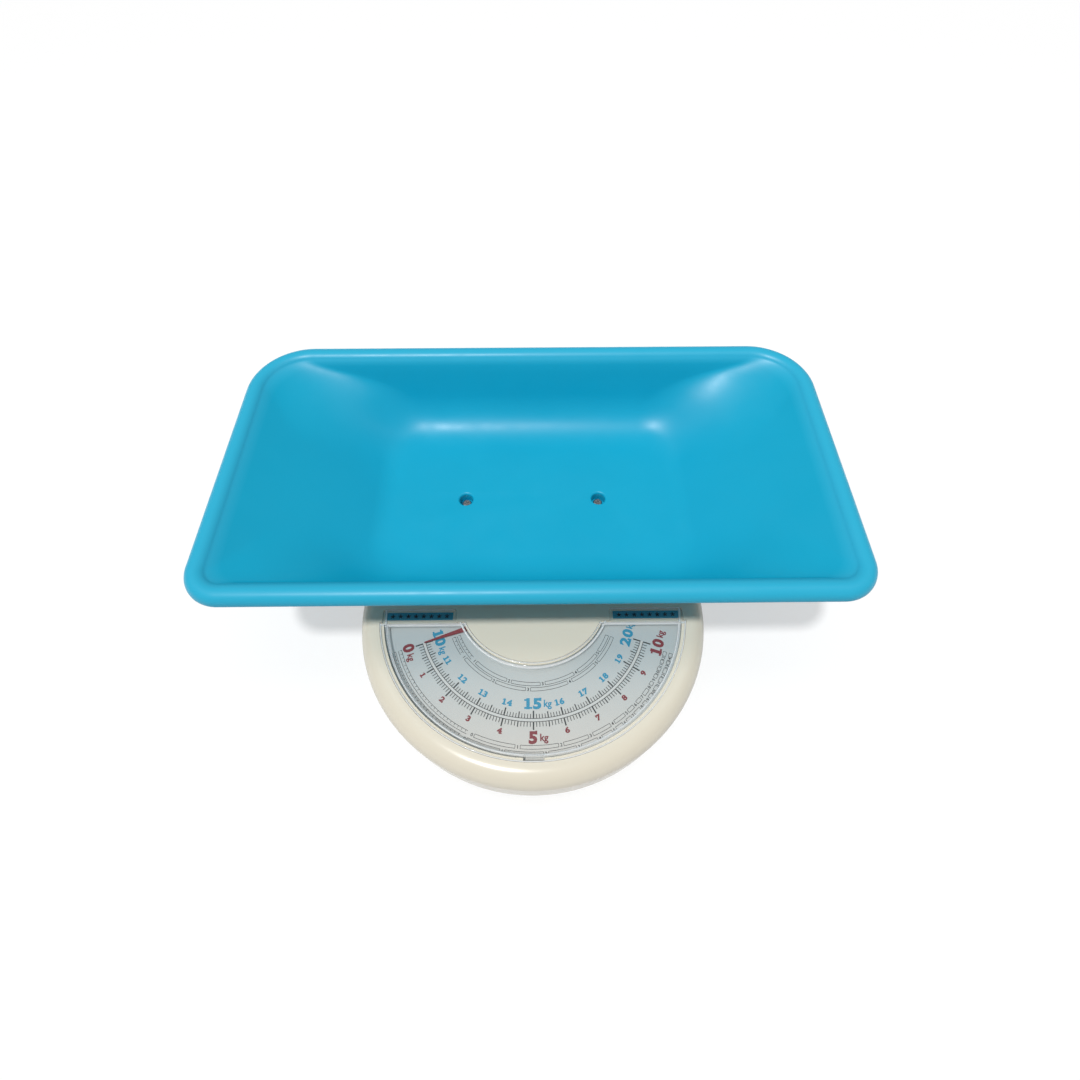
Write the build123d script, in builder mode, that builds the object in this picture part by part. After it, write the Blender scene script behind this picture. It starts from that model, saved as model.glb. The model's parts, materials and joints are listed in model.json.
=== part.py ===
from build123d import *
from math import acos, cos, degrees, hypot, pi, radians, sin, tan
import os

# A mechanical baby scale, 20 kg: a wide moulded tray on a weighing platform,
# over a rounded base with a half-round dial in front. Millimetres, +Z up,
# the dial towards -Y. The origin lies under the middle of the whole scale.

# Tray
TRAY_LENGTH = 553.0
TRAY_WIDTH = 288.0
TRAY_DEPTH = 69.0
TRAY_WALL = 3.0
FLOOR_LENGTH = 290.0
FLOOR_WIDTH = 180.0
FLOOR_CORNER = 24.0
SIDE_BLEND = 14.0
END_BLEND = 5.0
CORNER_SWELL = 26.0
RIM_CORNER_FRONT = 33.0
RIM_CORNER_BACK = 58.0
LIP_WIDTH = 19.0
LIP_DROP = 11.0
LIP_ROUND = 9.5
LIP_INNER_ROUND = 13.0
CUP_SPACING = 130.0
CUP_BORE = 13.0
CUP_DEPTH = 10.0
CUP_WALL = 2.5
TRAY_RIB = 2.5

# Base
BASE_RADIUS = 161.0
BRACKET_REAR_GAP = 1.0
BASE_CORNER = 60.0
BASE_HEIGHT = 60.0
FOOT_HEIGHT = 4.0
FOOT_RADIUS = 11.0
WALL = 2.5
CROWN_RADIUS = 17.0
SKIRT_DRAFT = 2.5
SKIRT_LIFT = 8.0
PAN_FLOOR = 2.0
PAN_INSET = 6.0
PAN_RIM_HEIGHT = 12.0
PAN_FLAT = 1.6
TRAY_OFFSET = 102.0

# Dial, window and boss
DIAL_DROP = 9.6
DIAL_THICKNESS = 1.5
DIAL_MARGIN = 4.0
DIAL_BACK = 16.0
WINDOW_MARGIN = 19.5
WINDOW_END = 18.0
PANE_THICKNESS = 2.0
BEAD_HEIGHT = 2.2
BEAD_WIDTH = 6.0
LEDGE_THICKNESS = 2.5
LEDGE_DEPTH = 1.8
BOSS_BACK = 11.0
BOSS_RADIUS = 68.0
COLLAR_WIDTH = 4.5
PAD_INNER = 70.5
PAD_MARGIN = 3.5
PAD_DEPTH = 13.0
PAD_ROUND = 3.5
LABEL_MARGIN = 3.25
LABEL_WIDTH = 7.5
LABEL_THICKNESS = 0.3
CATCH_LENGTH = 17.0
CATCH_WIDTH = 4.5

# Weighing mechanism
CAPACITY_TRAVEL = 2.5
LOAD_ARM = 30.0
PIVOT_REACH = 60.0
NOSE_REACH = 40.0
MAIN_ARM_X = 88.0
SHORT_ARM_X = 74.0
LEVER_HEIGHT = 16.0
LEVER_DEPTH = 10.0
LEVER_THICKNESS = 3.0
CROSSBAR_HEIGHT = 4.5
CROSSBAR_WIDTH = 4.0
TONGUE_WIDTH = 6.0
KNIFE_HALF_ANGLE = 30.0
NOTCH_HALF_ANGLE = 45.0
KNIFE_HEIGHT = 4.5
KNIFE_LENGTH = 12.0
SEAT_GAP = 0.3
BRACKET_PLATE = 2.0
EAR_THICKNESS = 2.5
EAR_WIDTH = 12.0
PLATFORM_HEIGHT = 9.0
PLATFORM_GAP = 1.5
PLATFORM_MARGIN_X = 18.0
PLATFORM_MARGIN_Y = 20.0
POST_RADIUS = 5.0
POST_CLEARANCE = 1.5
BEARING_LENGTH = 14.0
BEARING_WIDTH = 10.0

# Spring, crank, rack and pointer
SPRING_RADIUS = 5.5
SPRING_WIRE = 0.9
SPRING_TURNS = 8
PLATE_WIDTH = 14.0
PLATE_THICKNESS = 2.0
HANGER_DROP = 5.7
HANGER_THICKNESS = 2.3
CRANK_HEIGHT = 8.0
CRANK_X = 9.85
CRANK_THICKNESS = 2.5
CRANK_ARM_WIDTH = 3.0
CRANK_NOSE_RADIUS = 2.0
PLATE_EAR_WIDTH = 3.0
RACK_DROP = 7.9
GEAR_MODULE = 0.5
PINION_TEETH = 12
PRESSURE_ANGLE = 20.0
BACKLASH = 0.12
RACK_ADDENDUM = 0.33
RACK_WIDTH = 5.0
RACK_HEIGHT = 4.0
SCALE_ANGLE = 141.4
SCALE_TURNS = 2
SHAFT_RADIUS = 2.0
RUNNING_GAP = 0.05
HUB_RADIUS = 8.0
POINTER_LENGTH = 105.0
POINTER_ROOT = 10.5
POINTER_TIP = 1.0
POINTER_THICKNESS = 0.8
POINTER_LIFT = 1.8

# Brackets inside the base
BRIDGE_HALF = 34.0
BRIDGE_FEET = 26.0
BRIDGE_WIDTH = 18.0
EAR_GAP = LEVER_THICKNESS / 2 + 0.8
EAR_RISE = 4.0
NOTCH_DEPTH = 6.0
FOOT_LENGTH = 28.0
FULCRUM_SCREW_REACH = 10.0
SPRING_BRACKET_WIDTH = 24.0
SPRING_BRACKET_FOOT = 14.0
SPRING_SCREW_X = 8.0
CRANK_FOOT_LENGTH = 24.0
CRANK_FOOT_PLATE = 1.5
CRANK_EAR = 2.0
CRANK_SCREW_REACH = 9.0

# Zero knob and small hardware
ZERO_DROP = 22.0
ZERO_SCREW_RADIUS = 2.0
KNOB_RADIUS = 10.0
KNOB_LENGTH = 12.0
KNOB_FLUTES = 18
FLUTE_RADIUS = 1.0
POST_WIDTH = 16.0
TRAY_SCREW_RADIUS = 2.5
NUT_HEIGHT = 4.0
SCREW_CLEARANCE = 0.25
SMALL_SCREW_RADIUS = 1.5
CASE_SCREW_RADIUS = 2.0
PILLAR_RADIUS = 4.25
CASE_SCREW_LENGTH = 22.0

# Heads, recesses and pegs of the small hardware
CASE_HEAD_RADIUS = 3.05
CASE_HEAD_HEIGHT = 2.2
CASE_RECESS = (3.6, 0.9, 1.2)
TRAY_HEAD_RADIUS = 4.8
TRAY_HEAD_HEIGHT = 3.6
TRAY_RECESS = (5.0, 1.1, 1.8)
RECESS_TURN = 20.0
DIAL_HEAD_RADIUS = 2.75
DIAL_HEAD_HEIGHT = 1.8
DIAL_SCREW_LENGTH = 8.0
BRACKET_HEAD_RADIUS = 2.6
BRACKET_HEAD_HEIGHT = 1.4
BRACKET_SCREW_LENGTH = 5.0
PAN_BOSS_RADIUS = 3.4
PAN_BOSS_HEIGHT = 2.0
PEDESTAL_RADIUS = 3.5
FOOT_PEG = 3.0
NUT_APOTHEM = 4.0
PIN_RADIUS = 1.5
RACK_PIN_RADIUS = 1.25
FORK_HALF = 1.65
# Longer than any cut has to reach
FAR = 400.0

# Places worked out from the sizes above
DIAL_Y = 0.5 * (BASE_RADIUS - TRAY_OFFSET - TRAY_WIDTH / 2)
TRAY_Y = DIAL_Y + TRAY_OFFSET
BOSS_Y = DIAL_Y + BOSS_BACK
PAN_TOP = FOOT_HEIGHT + PAN_FLOOR
HOUSING_TOP = FOOT_HEIGHT + BASE_HEIGHT
HOUSING_BOTTOM = FOOT_HEIGHT + SKIRT_LIFT
BASE_BACK = TRAY_OFFSET + PIVOT_REACH + FOOT_LENGTH / 2 + BRACKET_REAR_GAP + WALL + PAN_INSET
WINDOW_RADIUS = BASE_RADIUS - WINDOW_MARGIN
DIAL_RADIUS = WINDOW_RADIUS + DIAL_MARGIN
PAD_OUTER = WINDOW_RADIUS - PAD_MARGIN
LABEL_LENGTH = PAD_OUTER - PAD_INNER - 2 * LABEL_MARGIN
WAIST_Z = HOUSING_TOP - CROWN_RADIUS
CEILING_Z = HOUSING_TOP - WALL
LEDGE_Z = HOUSING_TOP - LEDGE_DEPTH
DIAL_Z = HOUSING_TOP - DIAL_DROP
RACK_Z = DIAL_Z - RACK_DROP
LEVER_Z = PAN_TOP + LEVER_HEIGHT
LEVER_LOW = LEVER_Z - LEVER_DEPTH / 2
LEVER_HIGH = LEVER_Z + LEVER_DEPTH / 2
PLATFORM_LOW = HOUSING_TOP + CAPACITY_TRAVEL + PLATFORM_GAP
PLATFORM_TOP = PLATFORM_LOW + PLATFORM_HEIGHT
FLOOR_Z = PLATFORM_TOP + CUP_WALL + CUP_DEPTH
RIM_Z = FLOOR_Z + TRAY_DEPTH

LEVER_TURN = CAPACITY_TRAVEL / LOAD_ARM
NOSE_TRAVEL = LEVER_TURN * (PIVOT_REACH + NOSE_REACH)
NOSE_Y = TRAY_Y + NOSE_REACH
POINTER_TURN = radians(SCALE_ANGLE * SCALE_TURNS)
PITCH_RADIUS = GEAR_MODULE * PINION_TEETH / 2
RACK_TRAVEL = POINTER_TURN * PITCH_RADIUS
CRANK_Z = PAN_TOP + CRANK_HEIGHT
CRANK_RISE = RACK_Z - CRANK_Z
CRANK_TURN = RACK_TRAVEL / CRANK_RISE
CRANK_REACH = NOSE_TRAVEL / CRANK_TURN
CRANK_Y = NOSE_Y - CRANK_REACH
HANGER_Z = HOUSING_TOP - HANGER_DROP
ZERO_Z = HOUSING_TOP - ZERO_DROP
BACK_Y = DIAL_Y + BASE_BACK
UPRIGHT_Y = BACK_Y - 26.0
BRIDGE_TOP = RACK_Z - 6.5
SPRING_SCREW_Y = UPRIGHT_Y - 8.0
POST_FRONT_Y = BACK_Y - 18.0
POST_BACK_Y = BACK_Y - 10.0

LOAD_POINTS = [
    (-MAIN_ARM_X, TRAY_Y - PIVOT_REACH + LOAD_ARM),
    (MAIN_ARM_X, TRAY_Y - PIVOT_REACH + LOAD_ARM),
    (-SHORT_ARM_X, TRAY_Y + PIVOT_REACH - LOAD_ARM),
    (SHORT_ARM_X, TRAY_Y + PIVOT_REACH - LOAD_ARM),
]
PIVOT_POINTS = [
    (-MAIN_ARM_X, TRAY_Y - PIVOT_REACH),
    (MAIN_ARM_X, TRAY_Y - PIVOT_REACH),
    (-SHORT_ARM_X, TRAY_Y + PIVOT_REACH),
    (SHORT_ARM_X, TRAY_Y + PIVOT_REACH),
]

# Small screws: of the fulcrum brackets, the spring bracket, the bridge and the crank bracket
BRACKET_SCREW_PLACES = []
for pivot_x, pivot_y in PIVOT_POINTS:
    for reach in (-FULCRUM_SCREW_REACH, FULCRUM_SCREW_REACH):
        BRACKET_SCREW_PLACES.append((pivot_x, pivot_y + reach, BRACKET_PLATE))
for side in (-1, 1):
    BRACKET_SCREW_PLACES.append((side * SPRING_SCREW_X, SPRING_SCREW_Y, EAR_THICKNESS))
    BRACKET_SCREW_PLACES.append((side * (BRIDGE_HALF + 7), DIAL_Y, EAR_THICKNESS))
    BRACKET_SCREW_PLACES.append((CRANK_X, CRANK_Y + side * CRANK_SCREW_REACH, CRANK_FOOT_PLATE))
BRACKET_SCREW_POINTS = [(x, y) for x, y, plate in BRACKET_SCREW_PLACES]
FOOT_POINTS = [(-100, -80), (100, -80), (-118, 140), (118, 140)]


def dial_plane(height):
    """Level plane at this height, its origin on the pointer's axis."""
    return Plane(origin=(0, DIAL_Y, height))


def tray_plane(height):
    """Level plane at this height, its origin under the tray's centre."""
    return Plane(origin=(0, TRAY_Y, height))


def around_dial(radius, angles):
    """Points at a radius from the pointer's axis, angles from the front."""
    return [(radius * sin(radians(a)), -radius * cos(radians(a))) for a in angles]


def save(piece, name):
    """Label a finished piece and write it as one file."""
    piece.part.label = name
    export_step(piece.part, f"parts/{name}.step")


def base_outline(inset):
    """Plan of the base drawn in by inset: round in front, square behind."""
    radius = BASE_RADIUS - inset
    back = BASE_BACK - inset
    corner = BASE_CORNER - inset
    with BuildSketch(mode=Mode.PRIVATE) as plan:
        with BuildLine():
            ThreePointArc((-radius, 0), (0, -radius), (radius, 0))
            Line((radius, 0), (radius, back - corner))
            RadiusArc((radius, back - corner), (radius - corner, back), -corner)
            Line((radius - corner, back), (corner - radius, back))
            RadiusArc((corner - radius, back), (-radius, back - corner), -corner)
            Line((-radius, back - corner), (-radius, 0))
        make_face()
    return plan.sketch


def housing_form(inset):
    """The closed form of the housing, drawn in by inset all over."""
    with BuildPart() as form:
        with BuildSketch(dial_plane(WAIST_Z)):
            add(base_outline(inset))
        extrude(amount=CROWN_RADIUS - inset)
        fillet(form.edges().group_by(Axis.Z)[-1], CROWN_RADIUS - inset - 0.5)
        with BuildSketch(dial_plane(HOUSING_BOTTOM)):
            add(base_outline(inset + SKIRT_DRAFT))
        with BuildSketch(dial_plane(WAIST_Z)):
            add(base_outline(inset))
        loft()
    return form.part


def tray_outline(length, width, front, back):
    """Plan of the tray at one level: a rectangle with its own front and back corner radii."""
    with BuildSketch(mode=Mode.PRIVATE) as plan:
        Rectangle(length, width)
        fillet(plan.vertices().group_by(Axis.Y)[0], front)
        fillet(plan.vertices().group_by(Axis.Y)[-1], back)
    return plan.sketch


def wall_offset(rise, slope, blend):
    """How far a wall stands out from the floor's edge at a height: a curve, then its slope."""
    remainder = max(1 - (rise / blend) ** 0.5, 0)
    return slope * rise - hypot(1, slope) * blend * remainder**2


def tray_levels(grow, low):
    """Levels of the tray's wall from floor to rim: curved blends, then straight slopes.

    Each level is its height and its plan, grown by grow in all and lowered by low. The corners
    swell halfway up, where the end slopes run softly into the sides.
    """
    end_slope = (WELL_LENGTH - FLOOR_LENGTH) / 2 / TRAY_DEPTH
    side_slope = (WELL_WIDTH - FLOOR_WIDTH) / 2 / TRAY_DEPTH
    levels = []
    for rise in (0, SIDE_BLEND / 9, SIDE_BLEND * 4 / 9, SIDE_BLEND, TRAY_DEPTH * 0.55, TRAY_DEPTH):
        length = FLOOR_LENGTH + grow + 2 * wall_offset(rise, end_slope, END_BLEND)
        width = FLOOR_WIDTH + grow + 2 * wall_offset(rise, side_slope, SIDE_BLEND)
        share = rise / TRAY_DEPTH
        swell = CORNER_SWELL * 4 * share * (1 - share) + grow / 2
        front = FLOOR_CORNER + (WELL_FRONT - FLOOR_CORNER) * share + swell
        back = FLOOR_CORNER + (WELL_BACK - FLOOR_CORNER) * share + swell
        levels.append((FLOOR_Z + rise - low, tray_outline(length, width, front, back)))
    return levels


def window_outline(grow):
    """Plan of the window with its two end pads, grown by grow."""
    end = -WINDOW_END + grow
    with BuildSketch(mode=Mode.PRIVATE) as plan:
        Circle(WINDOW_RADIUS + grow)
        with Locations((0, end)):
            Rectangle(FAR, FAR, align=(Align.CENTER, Align.MIN), mode=Mode.SUBTRACT)
        with Locations((-PAD_OUTER - grow, -WINDOW_END - 2), (PAD_INNER - grow, -WINDOW_END - 2)):
            Rectangle(
                PAD_OUTER - PAD_INNER + 2 * grow,
                PAD_DEPTH + 2 + grow,
                align=(Align.MIN, Align.MIN),
            )
        fillet(plan.vertices().group_by(Axis.Y)[-1], PAD_ROUND)
        with Locations((0, BOSS_BACK)):
            Circle(BOSS_RADIUS + SEAT_GAP - grow, mode=Mode.SUBTRACT)
    return plan.sketch


def pane_outline(edge, end, boss):
    """Half ring inside radius edge, in front of end and outside the boss radius."""
    with BuildSketch(mode=Mode.PRIVATE) as plan:
        Circle(edge)
        with Locations((0, -end)):
            Rectangle(FAR, FAR, align=(Align.CENTER, Align.MIN), mode=Mode.SUBTRACT)
        with Locations((0, BOSS_BACK)):
            Circle(boss, mode=Mode.SUBTRACT)
    return plan.sketch


def knife_profile(tip_up):
    """Triangle with its tip at the origin, pointing up or down."""
    side = -1 if tip_up else 1
    half = KNIFE_HEIGHT * tan(radians(KNIFE_HALF_ANGLE))
    with BuildSketch(mode=Mode.PRIVATE) as profile:
        with BuildLine():
            Polyline((0, 0), (half, side * KNIFE_HEIGHT), (-half, side * KNIFE_HEIGHT), close=True)
        make_face()
    return profile.sketch


def notch_profile(opens_up, depth):
    """Triangle with its point at the origin, wide enough to be cut through an edge."""
    side = 1 if opens_up else -1
    half = depth * tan(radians(NOTCH_HALF_ANGLE))
    with BuildSketch(mode=Mode.PRIVATE) as profile:
        with BuildLine():
            Polyline((0, 0), (half, side * depth), (-half, side * depth), close=True)
        make_face()
    return profile.sketch


def cross_plane(x, y, z):
    """Upright plane across the scale: local x runs to the back, local y up."""
    return Plane(origin=(x, y, z), x_dir=(0, 1, 0), z_dir=(1, 0, 0))


os.makedirs("parts", exist_ok=True)

# Housing pillars for the case screws, cut to the inside of the crown
CASE_SCREW_POINTS = around_dial(BASE_RADIUS - 10.5, (-45, 45)) + [
    (-BASE_RADIUS + 11, 34),
    (BASE_RADIUS - 11, 34),
    (-BASE_RADIUS + 34, BASE_BACK - 28),
    (BASE_RADIUS - 34, BASE_BACK - 28),
]
SCREW_BOSS_TOP = FOOT_HEIGHT + PAN_RIM_HEIGHT + 0.5
with BuildPart() as housing_pillars:
    with BuildSketch(dial_plane(SCREW_BOSS_TOP + SEAT_GAP)):
        with Locations(*CASE_SCREW_POINTS):
            Circle(PILLAR_RADIUS)
    extrude(amount=HOUSING_TOP - SCREW_BOSS_TOP - 1)
    add(housing_form(WALL / 2), mode=Mode.INTERSECT)

# Top housing: a thin moulded shell with the dial opening and the holes for the platform's posts
THROUGH_RADIUS = WINDOW_RADIUS - 3.5
THROUGH_END = WINDOW_END + 0.3
BOSS_THROUGH = BOSS_RADIUS + 2.0
CATCH_Y = -THROUGH_RADIUS - 0.25
with BuildPart() as top_housing:
    add(housing_form(0))
    add(housing_form(WALL), mode=Mode.SUBTRACT)
    with BuildSketch(dial_plane(HOUSING_BOTTOM)):
        add(base_outline(SKIRT_DRAFT + WALL))
    extrude(amount=WAIST_Z - HOUSING_BOTTOM, mode=Mode.SUBTRACT)
    # Thicker frame under the window's seat
    with BuildSketch(dial_plane(LEDGE_Z - LEDGE_THICKNESS)):
        add(window_outline(WALL))
    extrude(amount=LEDGE_THICKNESS)
    # Seat of the window, then the opening over the dial
    with BuildSketch(dial_plane(LEDGE_Z)):
        add(window_outline(SEAT_GAP))
    extrude(amount=LEDGE_DEPTH, mode=Mode.SUBTRACT)
    with BuildSketch(dial_plane(LEDGE_Z - LEDGE_THICKNESS)):
        add(pane_outline(THROUGH_RADIUS, THROUGH_END, BOSS_THROUGH))
    extrude(amount=LEDGE_THICKNESS, mode=Mode.SUBTRACT)
    # Slot of the window's snap catch at the front
    with BuildSketch(dial_plane(LEDGE_Z - LEDGE_THICKNESS)):
        with Locations((0, CATCH_Y)):
            Rectangle(CATCH_LENGTH, CATCH_WIDTH)
    extrude(amount=LEDGE_THICKNESS, mode=Mode.SUBTRACT)
    add(housing_pillars.part)
    with BuildSketch(Plane.XY.offset(CEILING_Z - 1)):
        with Locations(*LOAD_POINTS):
            Circle(POST_RADIUS + POST_CLEARANCE)
    extrude(amount=WALL + 2, mode=Mode.SUBTRACT)
    with BuildSketch(dial_plane(SCREW_BOSS_TOP)):
        with Locations(*CASE_SCREW_POINTS):
            Circle(CASE_SCREW_RADIUS + RUNNING_GAP)
    extrude(amount=CASE_SCREW_LENGTH - SCREW_BOSS_TOP + FOOT_HEIGHT + 1, mode=Mode.SUBTRACT)
    with BuildSketch(Plane(origin=(0, BACK_Y - 12, ZERO_Z), z_dir=(0, 1, 0))):
        Circle(ZERO_SCREW_RADIUS + 1)
    extrude(amount=20, mode=Mode.SUBTRACT)
save(top_housing, "top_housing")

# Base pan: floor, rim, pillars under the dial, bosses for the screws, post of the zero screw
DIAL_PILLAR_POINTS = around_dial(DIAL_RADIUS - 4, (-66, -22, 22, 66))
CASE_HEAD_Z = PAN_TOP + 1
with BuildPart() as base_pan:
    with BuildSketch(dial_plane(FOOT_HEIGHT)):
        add(base_outline(PAN_INSET))
    extrude(amount=PAN_RIM_HEIGHT)
    chamfer(base_pan.edges().group_by(Axis.Z)[0], 1.0)
    with BuildSketch(dial_plane(PAN_TOP)):
        add(base_outline(PAN_INSET + WALL))
    extrude(amount=PAN_RIM_HEIGHT, mode=Mode.SUBTRACT)
    with BuildSketch(dial_plane(PAN_TOP)):
        with Locations(*DIAL_PILLAR_POINTS):
            Circle(PEDESTAL_RADIUS)
    extrude(amount=DIAL_Z - DIAL_THICKNESS - PAN_TOP)
    with BuildSketch(dial_plane(PAN_TOP)):
        with Locations(*CASE_SCREW_POINTS):
            Circle(PILLAR_RADIUS)
    extrude(amount=SCREW_BOSS_TOP - PAN_TOP)
    with BuildSketch(Plane(origin=(0, POST_FRONT_Y, PAN_TOP), z_dir=(0, 0, 1))):
        Rectangle(POST_WIDTH, POST_BACK_Y - POST_FRONT_Y, align=(Align.CENTER, Align.MIN))
    extrude(amount=ZERO_Z + POST_WIDTH / 2 - PAN_TOP)
    with BuildSketch(Plane(origin=(0, POST_FRONT_Y, ZERO_Z), z_dir=(0, 1, 0))):
        Circle(ZERO_SCREW_RADIUS + RUNNING_GAP)
    extrude(amount=POST_BACK_Y - POST_FRONT_Y, mode=Mode.SUBTRACT)
    with BuildSketch(dial_plane(FOOT_HEIGHT)):
        with Locations(*CASE_SCREW_POINTS):
            Circle(CASE_SCREW_RADIUS + SCREW_CLEARANCE)
    extrude(amount=SCREW_BOSS_TOP - FOOT_HEIGHT, mode=Mode.SUBTRACT)
    with BuildSketch(dial_plane(FOOT_HEIGHT)):
        with Locations(*CASE_SCREW_POINTS):
            Circle(CASE_HEAD_RADIUS + SCREW_CLEARANCE)
    extrude(amount=CASE_HEAD_Z - FOOT_HEIGHT, mode=Mode.SUBTRACT)
    with BuildSketch(dial_plane(FOOT_HEIGHT)):
        with Locations(*FOOT_POINTS):
            Circle(FOOT_PEG + RUNNING_GAP)
    extrude(amount=PAN_FLOOR, mode=Mode.SUBTRACT)
    # Short bosses under the floor for the small screws of the brackets
    with BuildSketch(Plane.XY.offset(FOOT_HEIGHT)):
        with Locations(*BRACKET_SCREW_POINTS):
            Circle(PAN_BOSS_RADIUS)
    extrude(amount=-PAN_BOSS_HEIGHT)
    with BuildSketch(Plane.XY.offset(PAN_TOP)):
        with Locations(*BRACKET_SCREW_POINTS):
            Circle(SMALL_SCREW_RADIUS + RUNNING_GAP)
    extrude(amount=BRACKET_PLATE / 2 - BRACKET_SCREW_LENGTH, mode=Mode.SUBTRACT)
    with BuildSketch(dial_plane(DIAL_Z - DIAL_THICKNESS)):
        with Locations(*DIAL_PILLAR_POINTS):
            Circle(SMALL_SCREW_RADIUS + RUNNING_GAP)
    extrude(amount=-DIAL_SCREW_LENGTH - 1, mode=Mode.SUBTRACT)
    # Flat at the front of the rim, where the pan is gripped to part it from the housing
    with BuildSketch(dial_plane(FOOT_HEIGHT)):
        with Locations((0, -BASE_RADIUS + PAN_INSET + PAN_FLAT)):
            Rectangle(BASE_RADIUS / 2, WALL, align=(Align.CENTER, Align.MAX))
    extrude(amount=PAN_RIM_HEIGHT, mode=Mode.SUBTRACT)
save(base_pan, "base_pan")

# Rubber feet, each with a peg pushed into the pan
with BuildPart() as rubber_feet:
    with BuildSketch(dial_plane(0)):
        with Locations(*FOOT_POINTS):
            Circle(FOOT_RADIUS)
    extrude(amount=FOOT_HEIGHT)
    chamfer(rubber_feet.edges().group_by(Axis.Z)[0], 1.2)
    with BuildSketch(dial_plane(FOOT_HEIGHT)):
        with Locations(*FOOT_POINTS):
            Circle(FOOT_PEG)
    extrude(amount=PAN_FLOOR + 1.5)
save(rubber_feet, "rubber_feet")

# Case screws, driven up through the pan into the housing's pillars
with BuildPart() as case_screws:
    with BuildSketch(dial_plane(CASE_HEAD_Z)):
        with Locations(*CASE_SCREW_POINTS):
            Circle(CASE_SCREW_RADIUS)
    extrude(amount=CASE_SCREW_LENGTH - CASE_HEAD_Z)
    with BuildSketch(dial_plane(CASE_HEAD_Z)):
        with Locations(*CASE_SCREW_POINTS):
            Circle(CASE_HEAD_RADIUS)
    extrude(amount=-CASE_HEAD_HEIGHT)
    with BuildSketch(dial_plane(CASE_HEAD_Z - CASE_HEAD_HEIGHT)):
        with Locations(*CASE_SCREW_POINTS):
            Rectangle(CASE_RECESS[0], CASE_RECESS[1])
            Rectangle(CASE_RECESS[1], CASE_RECESS[0])
    extrude(amount=CASE_RECESS[2], mode=Mode.SUBTRACT)
save(case_screws, "case_screws")

# Dial plate with its four screws
with BuildPart() as dial_plate:
    with BuildSketch(dial_plane(DIAL_Z)):
        Circle(DIAL_RADIUS)
        with Locations((0, DIAL_BACK)):
            Rectangle(FAR, FAR, align=(Align.CENTER, Align.MIN), mode=Mode.SUBTRACT)
        Circle(SHAFT_RADIUS + 2, mode=Mode.SUBTRACT)
        with Locations(*DIAL_PILLAR_POINTS):
            Circle(SMALL_SCREW_RADIUS + SCREW_CLEARANCE, mode=Mode.SUBTRACT)
    extrude(amount=-DIAL_THICKNESS)
save(dial_plate, "dial_plate")

with BuildPart() as dial_screws:
    with BuildSketch(dial_plane(DIAL_Z)):
        with Locations(*DIAL_PILLAR_POINTS):
            Circle(DIAL_HEAD_RADIUS)
    extrude(amount=DIAL_HEAD_HEIGHT)
    fillet(dial_screws.edges().group_by(Axis.Z)[-1], 0.6)
    with BuildSketch(dial_plane(DIAL_Z)):
        with Locations(*DIAL_PILLAR_POINTS):
            Circle(SMALL_SCREW_RADIUS)
    extrude(amount=-DIAL_SCREW_LENGTH)
save(dial_screws, "dial_screws")

# Clear window: a sunken pane inside a raised bead, with two end pads over the labels
with BuildPart() as dial_window:
    with BuildSketch(dial_plane(LEDGE_Z)):
        add(window_outline(0))
    extrude(amount=BEAD_HEIGHT)
    with BuildSketch(dial_plane(LEDGE_Z)):
        bead_edge = WINDOW_RADIUS - BEAD_WIDTH
        add(pane_outline(bead_edge, WINDOW_END + 2, BOSS_RADIUS + COLLAR_WIDTH))
    extrude(amount=BEAD_HEIGHT, mode=Mode.SUBTRACT)
    fillet(dial_window.edges().group_by(Axis.Z)[-1], 0.6)
    with BuildSketch(dial_plane(LEDGE_Z)):
        add(pane_outline(THROUGH_RADIUS - SEAT_GAP, THROUGH_END + SEAT_GAP, BOSS_THROUGH + SEAT_GAP))
    extrude(amount=-PANE_THICKNESS)
    with BuildSketch(dial_plane(LEDGE_Z)):
        with Locations((0, CATCH_Y)):
            Rectangle(CATCH_LENGTH, CATCH_WIDTH)
    extrude(amount=BEAD_HEIGHT, mode=Mode.SUBTRACT)
    # Pockets under the pads for the label strips
    LABEL_X = (PAD_INNER + PAD_OUTER) / 2
    LABEL_Y = -WINDOW_END + PAD_DEPTH / 2
    with BuildSketch(dial_plane(LEDGE_Z)):
        with Locations((-LABEL_X, LABEL_Y), (LABEL_X, LABEL_Y)):
            Rectangle(LABEL_LENGTH + 1, LABEL_WIDTH + 1)
    extrude(amount=LABEL_THICKNESS, mode=Mode.SUBTRACT)
save(dial_window, "dial_window")

with BuildPart() as label_strips:
    with BuildSketch(dial_plane(LEDGE_Z)):
        with Locations((-LABEL_X, LABEL_Y), (LABEL_X, LABEL_Y)):
            Rectangle(LABEL_LENGTH, LABEL_WIDTH)
    extrude(amount=LABEL_THICKNESS)
save(label_strips, "label_strips")

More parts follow.
